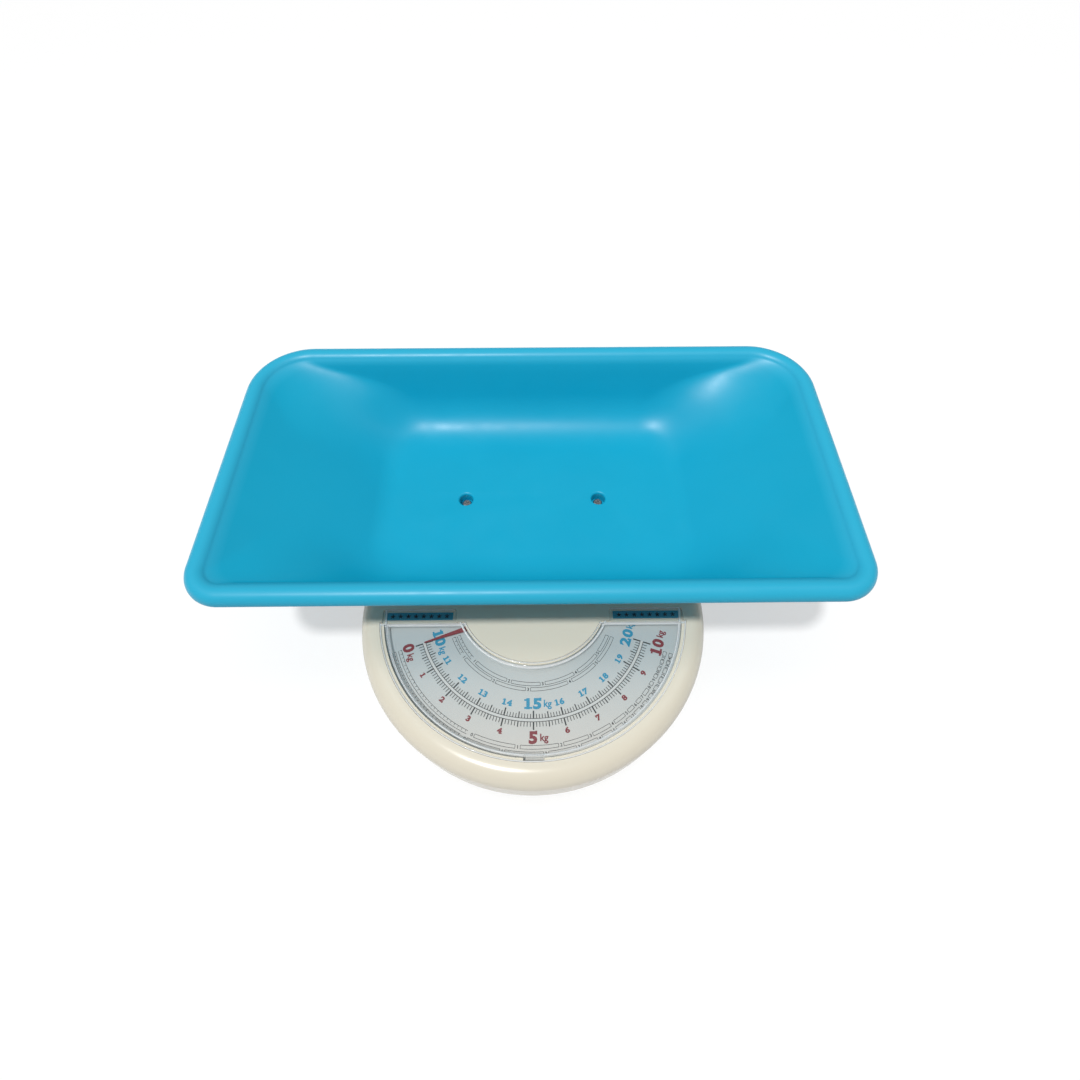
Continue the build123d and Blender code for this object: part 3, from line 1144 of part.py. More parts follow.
def pointer_arm(height, angle):
    """Sheet-metal arm from the hub out to the scale, angle from the front."""
    with BuildPart() as arm:
        with BuildSketch(dial_plane(height)):
            Circle(HUB_RADIUS - 0.5)
            with BuildLine(Plane.XY.rotated((0, 0, angle - 90))):
                Polyline(
                    (0, POINTER_ROOT / 2),
                    (0, -POINTER_ROOT / 2),
                    (POINTER_LENGTH, -POINTER_TIP / 2),
                    (POINTER_LENGTH, POINTER_TIP / 2),
                    close=True,
                )
            make_face()
            Circle(HUB_RADIUS / 2, mode=Mode.SUBTRACT)
        extrude(amount=POINTER_THICKNESS)
    return arm


# The two arms stand one scale apart, so that the second comes up as the first leaves
red_pointer = pointer_arm(ARM_Z, -SCALE_ANGLE / 2)
save(red_pointer, "red_pointer")
blue_pointer = pointer_arm(ARM_Z + POINTER_THICKNESS, -SCALE_ANGLE / 2 - SCALE_ANGLE)
save(blue_pointer, "blue_pointer")

# Zero knob and its screw, which bears on the spring bracket
KNOB_FRONT_Y = BACK_Y + 1.5
with BuildPart() as zero_screw:
    with BuildSketch(Plane(origin=(0, UPRIGHT_Y + EAR_THICKNESS + SEAT_GAP, ZERO_Z), z_dir=(0, 1, 0))):
        Circle(ZERO_SCREW_RADIUS)
    extrude(amount=KNOB_FRONT_Y + KNOB_LENGTH - 2 - UPRIGHT_Y - EAR_THICKNESS - SEAT_GAP)
save(zero_screw, "zero_screw")

with BuildPart() as zero_knob:
    with BuildSketch(Plane(origin=(0, KNOB_FRONT_Y, ZERO_Z), z_dir=(0, 1, 0))):
        Circle(KNOB_RADIUS)
        with PolarLocations(KNOB_RADIUS + 0.4 * FLUTE_RADIUS, KNOB_FLUTES):
            Circle(FLUTE_RADIUS, mode=Mode.SUBTRACT)
    extrude(amount=KNOB_LENGTH)
    with BuildSketch(Plane(origin=(0, KNOB_FRONT_Y, ZERO_Z), z_dir=(0, 1, 0))):
        Circle(ZERO_SCREW_RADIUS)
    extrude(amount=KNOB_LENGTH - 2, mode=Mode.SUBTRACT)
save(zero_knob, "zero_knob")

# Small screws, all one size, that hold the brackets and the bridge to the pan
with BuildPart() as bracket_screws:
    for screw_x, screw_y, plate in BRACKET_SCREW_PLACES:
        with BuildSketch(Plane(origin=(screw_x, screw_y, PAN_TOP + plate))):
            Circle(BRACKET_HEAD_RADIUS)
        extrude(amount=BRACKET_HEAD_HEIGHT)
        with BuildSketch(Plane(origin=(screw_x, screw_y, PAN_TOP + plate))):
            Circle(SMALL_SCREW_RADIUS)
        extrude(amount=-BRACKET_SCREW_LENGTH)
save(bracket_screws, "bracket_screws")

print("lever turn", degrees(LEVER_TURN), "nose travel", NOSE_TRAVEL)
print("crank turn", degrees(CRANK_TURN), "crank reach", CRANK_REACH, "rack travel", RACK_TRAVEL)
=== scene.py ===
"""Looks of a mechanical baby scale: blue tray, printed half dial, clear window, cream housing.

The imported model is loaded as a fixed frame. The tray is built again with soft creases, the dial
gets its printed scales, and every carried-over node gets a material with grain, relief and gloss.
"""

import json
import logging
from dataclasses import dataclass, field
from enum import Enum

import bmesh
import bpy
import numpy as np
from mathutils import Matrix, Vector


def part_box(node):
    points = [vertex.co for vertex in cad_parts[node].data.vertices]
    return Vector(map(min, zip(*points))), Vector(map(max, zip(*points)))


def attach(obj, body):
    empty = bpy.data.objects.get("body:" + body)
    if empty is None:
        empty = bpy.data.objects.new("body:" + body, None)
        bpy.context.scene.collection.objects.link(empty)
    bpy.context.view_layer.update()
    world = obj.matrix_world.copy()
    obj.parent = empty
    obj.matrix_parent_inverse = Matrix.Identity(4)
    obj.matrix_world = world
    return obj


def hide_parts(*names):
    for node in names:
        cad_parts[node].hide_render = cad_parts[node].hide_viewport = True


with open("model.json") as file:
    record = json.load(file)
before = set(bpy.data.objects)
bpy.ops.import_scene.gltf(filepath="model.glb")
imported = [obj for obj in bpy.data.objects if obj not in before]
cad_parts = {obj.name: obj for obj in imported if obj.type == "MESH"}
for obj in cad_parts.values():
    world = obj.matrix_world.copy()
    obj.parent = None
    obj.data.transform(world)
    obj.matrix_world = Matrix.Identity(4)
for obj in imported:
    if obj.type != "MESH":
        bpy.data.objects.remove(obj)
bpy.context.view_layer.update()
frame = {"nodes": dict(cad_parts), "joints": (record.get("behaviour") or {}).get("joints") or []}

LOG = logging.getLogger("baby_scale")

Colour = tuple[float, float, float, float]
Socket = bpy.types.NodeSocket
WHITE = (1.0, 1.0, 1.0, 1.0)

DIAL_Y = next(j for j in frame["joints"] if j["name"] == "pointer_turn")["pos_m"][1]
TRAY_LOW, TRAY_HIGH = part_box("tray")
TRAY_Y = (TRAY_LOW[1] + TRAY_HIGH[1]) / 2


class Slot(Enum):
    """The record's material slots, one for each real finish."""

    TRAY = "blue_tray"
    HOUSING = "cream_housing"
    PAN = "pale_pan"
    CLEAR = "clear_plastic"
    DIAL = "dial_paint"
    LABEL = "teal_label"
    RUBBER = "black_rubber"
    ZINC = "zinc_steel"
    HARD = "hard_steel"
    SCREW = "screw_steel"
    WIRE = "spring_wire"
    BRASS = "brass"
    ACETAL = "white_acetal"
    RED = "red_paint"
    BLUE = "blue_paint"
    KNOB = "grey_knob"


def linear(red: float, green: float, blue: float) -> Colour:
    """Turns a screen colour of 0 to 255 into a linear colour with alpha 1.

    Args:
        red: Red level.
        green: Green level.
        blue: Blue level.

    Returns:
        Red, green, blue and alpha as linear shares.
    """
    level = np.array([red, green, blue]) / 255.0
    dark = level / 12.92
    bright = ((level + 0.055) / 1.055) ** 2.4
    return (*np.where(level <= 0.04045, dark, bright).tolist(), 1.0)


def add_node(tree: bpy.types.NodeTree, kind: str, *sources: Socket) -> bpy.types.Node:
    """Adds a node and joins outputs to its first inputs, in order.

    Args:
        tree: The tree it goes into.
        kind: Blender's name for the kind of node.
        sources: Outputs of other nodes.

    Returns:
        The node.
    """
    node = tree.nodes.new(kind)
    for source, target in zip(sources, node.inputs):
        tree.links.new(source, target)
    return node


@dataclass(frozen=True)
class Pattern:
    """A noise: spots per metre, octaves of finer noise, and the band of its values that counts."""

    scale: float
    detail: float
    band: tuple[float, float] = (0.0, 1.0)


class Graph:
    """A material's node tree with short calls for the nodes that the finishes share."""

    def __init__(self, name: str) -> None:
        """Starts a material with one principled shader that reads object coordinates.

        Args:
            name: Name of the material.
        """
        self.material = bpy.data.materials.new(name)
        self.material.use_nodes = True
        self.tree = self.material.node_tree
        self.shader = self.tree.nodes["Principled BSDF"]
        self.place = self.tree.nodes.new("ShaderNodeTexCoord").outputs["Object"]

    def link(self, source: Socket, target: Socket) -> None:
        """Joins an output to an input."""
        self.tree.links.new(source, target)

    def drive(self, key: str, source: Socket) -> None:
        """Joins an output to the named input of the shader."""
        self.tree.links.new(source, self.shader.inputs[key])

    def stretch(self, across: tuple[float, float, float]) -> Socket:
        """Gives object coordinates multiplied by a factor for each axis.

        Args:
            across: The factors for x, y and z.

        Returns:
            The stretched coordinates.
        """
        node = add_node(self.tree, "ShaderNodeMapping", self.place)
        node.inputs["Scale"].default_value = across
        return node.outputs["Vector"]

    def noise(self, pattern: Pattern, vector: Socket | None = None) -> Socket:
        """Adds a noise.

        Args:
            pattern: Its scale and detail.
            vector: Coordinates to read, the object's own when left out.

        Returns:
            The noise's value, about 0.5 on average.
        """
        node = add_node(self.tree, "ShaderNodeTexNoise", vector or self.place)
        node.inputs["Scale"].default_value = pattern.scale
        node.inputs["Detail"].default_value = pattern.detail
        return node.outputs["Fac"]

    def span(
        self, value: Socket, source: tuple[float, float], target: tuple[float, float]
    ) -> Socket:
        """Maps a value from one range to another, held at the target's ends.

        Args:
            value: What is mapped.
            source: First and last of the range it comes from.
            target: First and last of the range it goes to.

        Returns:
            The mapped value.
        """
        node = add_node(self.tree, "ShaderNodeMapRange", value)
        for key, number in zip(("From Min", "From Max", "To Min", "To Max"), (*source, *target)):
            node.inputs[key].default_value = number
        return node.outputs["Result"]

    def read(
        self, pattern: Pattern, target: tuple[float, float], vector: Socket | None = None
    ) -> Socket:
        """Adds a noise and maps the band of its values that counts to another range.

        Args:
            pattern: The noise.
            target: First and last of the range it goes to.
            vector: Coordinates to read, the object's own when left out.

        Returns:
            The mapped value.
        """
        return self.span(self.noise(pattern, vector), pattern.band, target)

    def mix(self, factor: Socket, first: Colour | Socket, second: Colour | Socket) -> Socket:
        """Blends two colours.

        Args:
            factor: 0 for the first colour, 1 for the second.
            first: A colour or an output that gives one.
            second: Another.

        Returns:
            The blended colour.
        """
        node = self.tree.nodes.new("ShaderNodeMix")
        node.data_type = "RGBA"
        self.link(factor, node.inputs[0])
        for socket, colour in ((node.inputs[6], first), (node.inputs[7], second)):
            if isinstance(colour, tuple):
                socket.default_value = colour
            else:
                self.link(colour, socket)
        return node.outputs[2]

    def reckon(self, operation: str, first: Socket, second: Socket | float = 0.0) -> Socket:
        """Does a sum on one or two values.

        Args:
            operation: Blender's name for the sum.
            first: The first value.
            second: The second value, an output or a number, where the sum has one.

        Returns:
            The result.
        """
        node = add_node(self.tree, "ShaderNodeMath", first)
        node.operation = operation
        if isinstance(second, float):
            node.inputs[1].default_value = second
        else:
            self.link(second, node.inputs[1])
        return node.outputs[0]

    def along(self, axis: str) -> Socket:
        """Gives the place along X, Y or Z.

        Args:
            axis: The axis's letter.

        Returns:
            The distance from the origin in metres.
        """
        return add_node(self.tree, "ShaderNodeSeparateXYZ", self.place).outputs[axis]

    def from_axis(self, y: float) -> Socket:
        """Gives the distance from an upright axis: the length of (x, y less the axis's y, 0).

        Args:
            y: Where the axis stands, at x = 0.

        Returns:
            The distance in metres.
        """
        flat = add_node(self.tree, "ShaderNodeMapping", self.place)
        flat.inputs["Location"].default_value = (0.0, -y, 0.0)
        flat.inputs["Scale"].default_value = (1.0, 1.0, 0.0)
        length = add_node(self.tree, "ShaderNodeVectorMath", flat.outputs["Vector"])
        length.operation = "LENGTH"
        return length.outputs["Value"]

    def near(self, value: Socket, middle: float, reach: float) -> Socket:
        """Gives 1 where a value is at the middle, falling evenly to 0 at the reach.

        Args:
            value: What is compared.
            middle: The value that gives 1.
            reach: How far to either side the result is 0.

        Returns:
            The share from 0 to 1.
        """
        away = self.reckon("ABSOLUTE", self.reckon("SUBTRACT", value, middle))
        return self.span(away, (0.0, reach), (1.0, 0.0))

    def largest(self, values: list[Socket]) -> Socket:
        """Gives the largest of some values.

        Args:
            values: Outputs to compare.

        Returns:
            The largest.
        """
        total = values[0]
        for value in values[1:]:
            total = self.reckon("MAXIMUM", total, value)
        return total

    def relief(self, heights: list[tuple[Socket, float]]) -> None:
        """Bumps the surface by patterns laid over one another.

        Args:
            heights: Pairs of a pattern and its height in metres.
        """
        normal = None
        for value, height in heights:
            node = self.tree.nodes.new("ShaderNodeBump")
            node.inputs["Distance"].default_value = height
            node.inputs["Strength"].default_value = 1.0
            self.link(value, node.inputs["Height"])
            if normal is not None:
                self.link(normal, node.inputs["Normal"])
            normal = node.outputs["Normal"]
        self.drive("Normal", normal)


@dataclass(frozen=True)
class MouldedPlastic:
    """Moulded plastic: a faint cloudiness, fine surface grain and scuffs that dull the gloss.

    A rim can have a paler colour between two heights, a painted highlight on the tray's lip.
    """

    name: str
    colour: Colour
    shade: Colour
    gloss: tuple[float, float] = (0.3, 0.42)
    grain: float = 0.00003
    specular: float = 0.5
    rim_colour: Colour | None = None
    rim_heights: tuple[float, float] = (0.0, 1.0)
    cloud: Pattern = Pattern(14.0, 4.0, (0.35, 0.7))
    speck: Pattern = Pattern(900.0, 2.0, (0.62, 0.8))
    speck_share: float = 0.18
    scuff: Pattern = Pattern(45.0, 4.0, (0.3, 0.75))
    skin: tuple[Pattern, Pattern] = (Pattern(1100.0, 2.0), Pattern(22.0, 1.0))

    def make(self) -> bpy.types.Material:
        """Builds the material.

        Returns:
            The finished material.
        """
        graph = Graph(self.name)
        cloud = graph.read(self.cloud, (0.0, 1.0))
        speck = graph.read(self.speck, (0.0, self.speck_share))
        tone = graph.mix(cloud, self.colour, self.shade)
        tone = graph.mix(speck, tone, self.shade)
        if self.rim_colour is not None:
            # Painted highlight: the colour turns paler between the rim's two heights
            rim = graph.span(graph.along("Z"), self.rim_heights, (0.0, 1.0))
            tone = graph.mix(rim, tone, self.rim_colour)
        graph.drive("Base Color", tone)
        graph.drive("Roughness", graph.read(self.scuff, self.gloss))
        graph.shader.inputs["Specular IOR Level"].default_value = self.specular
        graph.relief([(graph.noise(pattern), self.grain) for pattern in self.skin])
        return graph.material


@dataclass(frozen=True)
class WorkedMetal:
    """Metal with drawn or brushed lines along one axis and a patchy tarnish."""

    name: str
    colour: Colour
    tarnish: Colour
    lines: tuple[float, float, float] = (1.0, 30.0, 30.0)
    gloss: tuple[float, float] = (0.25, 0.45)
    patch: Pattern = Pattern(90.0, 5.0, (0.42, 0.72))
    patch_share: float = 0.8
    brush: Pattern = Pattern(60.0, 4.0, (0.3, 0.7))
    grain: float = 0.00002

    def make(self) -> bpy.types.Material:
        """Builds the material.

        Returns:
            The finished material.
        """
        graph = Graph(self.name)
        patch = graph.read(self.patch, (0.0, self.patch_share))
        graph.drive("Base Color", graph.mix(patch, self.colour, self.tarnish))
        brushed = graph.noise(self.brush, graph.stretch(self.lines))
        graph.drive("Roughness", graph.span(brushed, self.brush.band, self.gloss))
        graph.shader.inputs["Metallic"].default_value = 1.0
        graph.relief([(brushed, self.grain)])
        return graph.material


@dataclass(frozen=True)
class Rubber:
    """Matt rubber with a fine pebbled skin and pale dust in its hollows."""

    name: str
    colour: Colour
    dusty: Colour = (0.09, 0.088, 0.084, 1.0)
    dust: Pattern = Pattern(220.0, 5.0, (0.5, 0.75))
    dust_share: float = 0.5
    gloss: tuple[float, float] = (0.6, 0.85)
    skin: Pattern = Pattern(1600.0, 3.0)
    grain: float = 0.00008

    def make(self) -> bpy.types.Material:
        """Builds the material.

        Returns:
            The finished material.
        """
        graph = Graph(self.name)
        dust = graph.read(self.dust, (0.0, self.dust_share))
        graph.drive("Base Color", graph.mix(dust, self.colour, self.dusty))
        graph.drive("Roughness", graph.span(dust, (0.0, self.dust_share), self.gloss))
        graph.relief([(graph.noise(self.skin), self.grain)])
        return graph.material


@dataclass(frozen=True)
class PrintedSheet:
    """Painted dial sheet: satin grey with fine paint texture, darker and bluer toward the back as
    painted shade and reflection.
    """

    name: str
    back_tone: Colour
    front_tone: Colour
    front_y: float = DIAL_Y - 0.13
    back_y: float = DIAL_Y - 0.04
    mottle: Pattern = Pattern(500.0, 4.0, (0.4, 0.8))
    mottle_share: float = 0.12
    scuff: Pattern = Pattern(25.0, 4.0, (0.3, 0.7))
    gloss: tuple[float, float] = (0.35, 0.5)
    skin: Pattern = Pattern(2500.0, 2.0)
    grain: float = 0.00001

    def make(self) -> bpy.types.Material:
        """Builds the material.

        Returns:
            The finished material.
        """
        graph = Graph(self.name)
        # Painted shade and reflection: the grey runs from the front tone to a darker, bluer tone at
        # the back
        depth = graph.span(graph.along("Y"), (self.front_y, self.back_y), (0.0, 1.0))
        tone = graph.mix(depth, self.front_tone, self.back_tone)
        mottle = graph.read(self.mottle, (0.0, self.mottle_share))
        graph.drive("Base Color", graph.mix(mottle, tone, self.front_tone))
        graph.drive("Roughness", graph.read(self.scuff, self.gloss))
        graph.relief([(graph.noise(self.skin), self.grain)])
        return graph.material


@dataclass(frozen=True)
class Ink:
    """Printing ink: almost one tone, with worn speckles where the paper shows through."""

    name: str
    colour: Colour
    worn: Colour
    wear: Pattern = Pattern(1500.0, 3.0, (0.55, 0.8))
    wear_share: float = 0.15
    gloss: tuple[float, float] = (0.42, 0.55)
    skin: Pattern = Pattern(2500.0, 2.0)
    grain: float = 0.000008

    def make(self) -> bpy.types.Material:
        """Builds the material.

        Returns:
            The finished material.
        """
        graph = Graph(self.name)
        wear = graph.read(self.wear, (0.0, self.wear_share))
        graph.drive("Base Color", graph.mix(wear, self.colour, self.worn))
        graph.drive("Roughness", graph.span(wear, (0.0, self.wear_share), self.gloss))
        graph.relief([(graph.noise(self.skin), self.grain)])
        return graph.material


@dataclass(frozen=True)
class ClearPlastic:
    """Clear moulded plastic: it shows what lies below; painted highlights stand for light on its
    edges.

    The painted highlights, white and less clear, lie on rings about the dial's axis, rings about
    the boss and straight lines across.
    """

    name: str
    tint: Colour
    milky: Colour
    cover: float
    edge_cover: float
    edge_reach: float
    window_rings: tuple[float, ...]
    boss_rings: tuple[float, ...]
    boss_y: float
    straight_edges: tuple[float, ...]
    flow: Pattern = Pattern(18.0, 3.0, (0.3, 0.7))
    flow_share: float = 0.5
    scratch: Pattern = Pattern(120.0, 6.0, (0.4, 0.8))
    scratch_lines: tuple[float, float, float] = (1.0, 9.0, 1.0)
    gloss: tuple[float, float] = (0.05, 0.16)
    slope_blend: float = 0.3
    slopes: tuple[float, float] = (0.2, 0.9)
    skin: Pattern = Pattern(40.0, 2.0)
    grain: float = 0.00002

    def make(self) -> bpy.types.Material:
        """Builds the material.

        Returns:
            The finished material.
        """
        graph = Graph(self.name)
        flow = graph.read(self.flow, (0.0, self.flow_share))
        lines = [
            (graph.from_axis(DIAL_Y), self.window_rings),
            (graph.from_axis(self.boss_y), self.boss_rings),
            (graph.along("Y"), self.straight_edges),
        ]
        # Painted highlight: the colour turns white and the alpha rises along these rings and lines
        edges = [graph.near(away, at, self.edge_reach) for away, places in lines for at in places]
        edge = graph.largest(edges)
        body = graph.mix(flow, self.tint, self.milky)
        graph.drive("Base Color", graph.mix(edge, body, WHITE))
        scratched = graph.stretch(self.scratch_lines)
        graph.drive("Roughness", graph.read(self.scratch, self.gloss, scratched))
        slope = add_node(graph.tree, "ShaderNodeLayerWeight")
        slope.inputs["Blend"].default_value = self.slope_blend
        veil = graph.span(slope.outputs["Facing"], self.slopes, (self.cover, self.edge_cover))
        highlight_alpha = graph.span(edge, (0.0, 1.0), (0.0, self.edge_cover))
        graph.drive("Alpha", graph.largest([veil, highlight_alpha]))
        graph.relief([(graph.noise(self.skin), self.grain)])
        return graph.material


FINISHES = {
    Slot.TRAY: MouldedPlastic(
        "satin_blue",
        (0.0035, 0.388, 0.600, 1.0),
        (0.0030, 0.374, 0.582, 1.0),
        gloss=(0.33, 0.43),
        specular=0.31,
        # Painted highlight: a paler colour on the lip's crown
        rim_colour=(0.025, 0.435, 0.655, 1.0),
        rim_heights=(0.1490, 0.1545),
    ),
    Slot.HOUSING: MouldedPlastic(
        "warm_cream",
        (0.776, 0.723, 0.597, 1.0),
        (0.772, 0.719, 0.593, 1.0),
        gloss=(0.22, 0.26),
        grain=0.00002,
    ),
    Slot.PAN: MouldedPlastic(
        "pan_cream",
        (0.70, 0.67, 0.60, 1.0),
        (0.64, 0.61, 0.54, 1.0),
        gloss=(0.38, 0.5),
        grain=0.00004,
    ),
    Slot.CLEAR: ClearPlastic(
        "clear_window",
        tint=(0.80, 0.88, 0.89, 1.0),
        milky=(0.75, 0.80, 0.82, 1.0),
        cover=0.03,
        # Painted highlight lines on the window's edges: their alpha, reach and places
        edge_cover=0.8,
        edge_reach=0.0011,
        window_rings=(0.1355, 0.1412),
        boss_rings=(0.0683, 0.0725),
        boss_y=DIAL_Y + 0.011,
        straight_edges=(DIAL_Y - 0.0202, DIAL_Y - 0.0054),
    ),
    # The dial's back tone is painted shade and reflection
    Slot.DIAL: PrintedSheet("dial_grey", linear(184, 193, 194), linear(206, 204, 198)),
    Slot.LABEL: Ink("label_teal", linear(58, 150, 176), linear(78, 166, 190)),
    Slot.RUBBER: Rubber("foot_rubber", (0.035, 0.035, 0.036, 1.0)),
    Slot.ZINC: WorkedMetal("zinc_plate", (0.62, 0.63, 0.65, 1.0), (0.45, 0.45, 0.44, 1.0)),
    Slot.HARD: WorkedMetal(
        "ground_steel", (0.42, 0.43, 0.45, 1.0), (0.28, 0.27, 0.26, 1.0), (30.0, 30.0, 1.0)
    ),
    Slot.SCREW: WorkedMetal(
        "nickel_screw",
        (0.5, 0.52, 0.54, 1.0),
        (0.3, 0.31, 0.31, 1.0),
        lines=(8.0, 8.0, 2.0),
        gloss=(0.2, 0.4),
    ),
    Slot.WIRE: WorkedMetal(
        "drawn_wire", (0.5, 0.5, 0.52, 1.0), (0.33, 0.32, 0.31, 1.0), (2.0, 2.0, 30.0)
    ),
    Slot.BRASS: WorkedMetal(
        "turned_brass", (0.78, 0.6, 0.28, 1.0), (0.5, 0.36, 0.16, 1.0), (4.0, 4.0, 40.0)
    ),
    Slot.ACETAL: MouldedPlastic(
        "white_acetal", (0.85, 0.85, 0.83, 1.0), (0.78, 0.78, 0.75, 1.0), (0.35, 0.5)
    ),
    Slot.RED: Ink("pointer_red", linear(128, 2, 24), linear(150, 30, 46)),
    Slot.BLUE: Ink("pointer_blue", linear(20, 120, 175), linear(50, 140, 185)),
    Slot.KNOB: MouldedPlastic(
        "knob_grey", (0.30, 0.30, 0.31, 1.0), (0.25, 0.25, 0.26, 1.0), (0.4, 0.55), 0.00005
    ),
}
BLACK_INK = Ink("black_ink", linear(14, 16, 18), linear(60, 62, 64))
WHITE_INK = Ink("white_ink", linear(204, 206, 203), linear(196, 198, 195))

# Angles in radians past which an edge stays hard, on new pieces and on printed ones
HARD_EDGE = 0.6
INK_EDGE = 0.5

NODE_SLOTS = {
    Slot.HOUSING: ("top_housing",),
    Slot.PAN: ("base_pan",),
    Slot.DIAL: ("dial_plate",),
    Slot.LABEL: ("label_strips",),
    Slot.RUBBER: ("rubber_feet",),
    Slot.ZINC: (
        "shaft_bridge",
        "fulcrum_brackets",
        "spring_bracket",
        "crank_bracket",
        "platform",
        "main_lever",
        "short_lever",
        "spring_plate",
        "bell_crank",
        "rack",
    ),
    Slot.HARD: (
        "main_knives",
        "short_knives",
        "load_saddles",
        "crank_pin",
        "rack_pin",
        "pointer_shaft",
    ),
    Slot.SCREW: (
        "case_screws",
        "dial_screws",
        "bracket_screws",
        "tray_screws",
        "tray_nuts",
        "zero_screw",
    ),
    Slot.WIRE: ("main_spring",),
    Slot.BRASS: ("pinion", "lower_bearing", "upper_bearing", "pointer_hub"),
    Slot.ACETAL: ("rack_guide",),
    Slot.RED: ("red_pointer",),
    Slot.BLUE: ("blue_pointer",),
    Slot.KNOB: ("zero_knob",),
}


def put_in(name: str, data: bpy.types.ID) -> bpy.types.Object:
    """Puts data into the scene as an object at the origin.

    Args:
        name: Name of the object.
        data: Its mesh, curve, camera or light.

    Returns:
        The object.
    """
    obj = bpy.data.objects.new(name, data)
    bpy.context.scene.collection.objects.link(obj)
    return obj


def dress(obj: bpy.types.Object, material: bpy.types.Material) -> None:
    """Puts one material on a piece's object slots, so that its mesh stays as it is.

    Args:
        obj: The piece.
        material: The finish.
    """
    if not obj.material_slots:
        obj.data.materials.append(material)
    for slot in obj.material_slots:
        slot.link = "OBJECT"
        slot.material = material


def corner_places(mesh: bpy.types.Mesh) -> np.ndarray:
    """Reads a mesh's corners.

    Args:
        mesh: The mesh.

    Returns:
        Rows of three coordinates in metres.
    """
    places = np.empty(len(mesh.vertices) * 3)
    mesh.vertices.foreach_get("co", places)
    return places.reshape(-1, 3)


def grid_faces(rows: int, columns: int) -> np.ndarray:
    """Lists the four-sided faces between neighbouring closed rings of a grid.

    Face (i, j) joins ring i to ring i + 1 between points j and j + 1, counted around.

    Args:
        rows: Number of rings.
        columns: Points in each ring.

    Returns:
        Rows of four point numbers.
    """
    ring = np.arange(rows - 1)[:, None] * columns
    here = np.arange(columns)[None, :]
    after = (here + 1) % columns
    quads = np.stack([ring + here, ring + after, ring + columns + after, ring + columns + here], -1)
    return quads.reshape(-1, 4)


def raise_plans(plan: np.ndarray, low: float, high: float) -> tuple[np.ndarray, list]:
    """Raises four-cornered plans into closed blocks: the corners at one height, then the other.

    Args:
        plan: Array of blocks by four corners by two coordinates, counted anticlockwise.
        low: Height of the undersides.
        high: Height of the tops.

    Returns:
        Points and faces.
    """
    block = np.array(
        [(3, 2, 1, 0), (4, 5, 6, 7), (0, 1, 5, 4), (1, 2, 6, 5), (2, 3, 7, 6), (3, 0, 4, 7)]
    )
    count = len(plan)
    levels = [np.concatenate([plan, np.full((count, 4, 1), z)], -1) for z in (low, high)]
    points = np.concatenate(levels, 1).reshape(-1, 3)
    faces = (np.arange(count) * 8)[:, None, None] + block[None]
    return points, faces.reshape(-1, 4).tolist()


def joined(parts: list[tuple[np.ndarray, list]]) -> tuple[np.ndarray, list]:
    """Joins shapes: their points follow one another, and their faces are counted on.

    Args:
        parts: Pairs of points and faces.

    Returns:
        Points and faces.
    """
    points, faces, count = [], [], 0
    for part_points, part_faces in parts:
        points.append(part_points)
        faces += [[index + count for index in face] for face in part_faces]
        count += len(part_points)
    return np.concatenate(points), faces


def mesh_object(
    name: str, points: np.ndarray, faces: list, sharp: float = HARD_EDGE
) -> bpy.types.Object:
    """Makes an object from points and faces, smooth but for edges sharper than an angle.

    Args:
        name: Name of the piece.
        points: Corner places in metres, one row each.
        faces: Lists of point numbers.
        sharp: Angle in radians past which an edge stays hard.

    Returns:
        The object.
    """
    mesh = bpy.data.meshes.new(name)
    mesh.from_pydata(points.tolist(), [], faces)
    mesh.update()
    smooth_by_angle(mesh, sharp)
    return put_in(name, mesh)


def smooth_by_angle(mesh: bpy.types.Mesh, sharp: float) -> None:
    """Shades a mesh smooth and keeps the edges hard that bend by more than an angle in radians."""
    mesh.polygons.foreach_set("use_smooth", np.ones(len(mesh.polygons), bool))
    mesh.set_sharp_from_angle(angle=sharp)


def cut(obj: bpy.types.Object, tool: bpy.types.Object, operation: str) -> None:
    """Cuts a tool out of a piece or joins it on, by an exact Boolean, and removes the tool.

    Args:
        obj: The piece, whose mesh becomes the result.
        tool: The shape that is used up.
        operation: UNION or DIFFERENCE.
    """
    boolean = obj.modifiers.new("shape", "BOOLEAN")
    boolean.operation = operation
    boolean.object = tool
    boolean.solver = "EXACT"
    bpy.context.view_layer.update()
    shown = obj.evaluated_get(bpy.context.evaluated_depsgraph_get())
    old = obj.data
    obj.data = bpy.data.meshes.new_from_object(shown)
    obj.modifiers.clear()
    obj.data.name = obj.name
    bpy.data.meshes.remove(old)
    bpy.data.objects.remove(tool)
    smooth_by_angle(obj.data, HARD_EDGE)


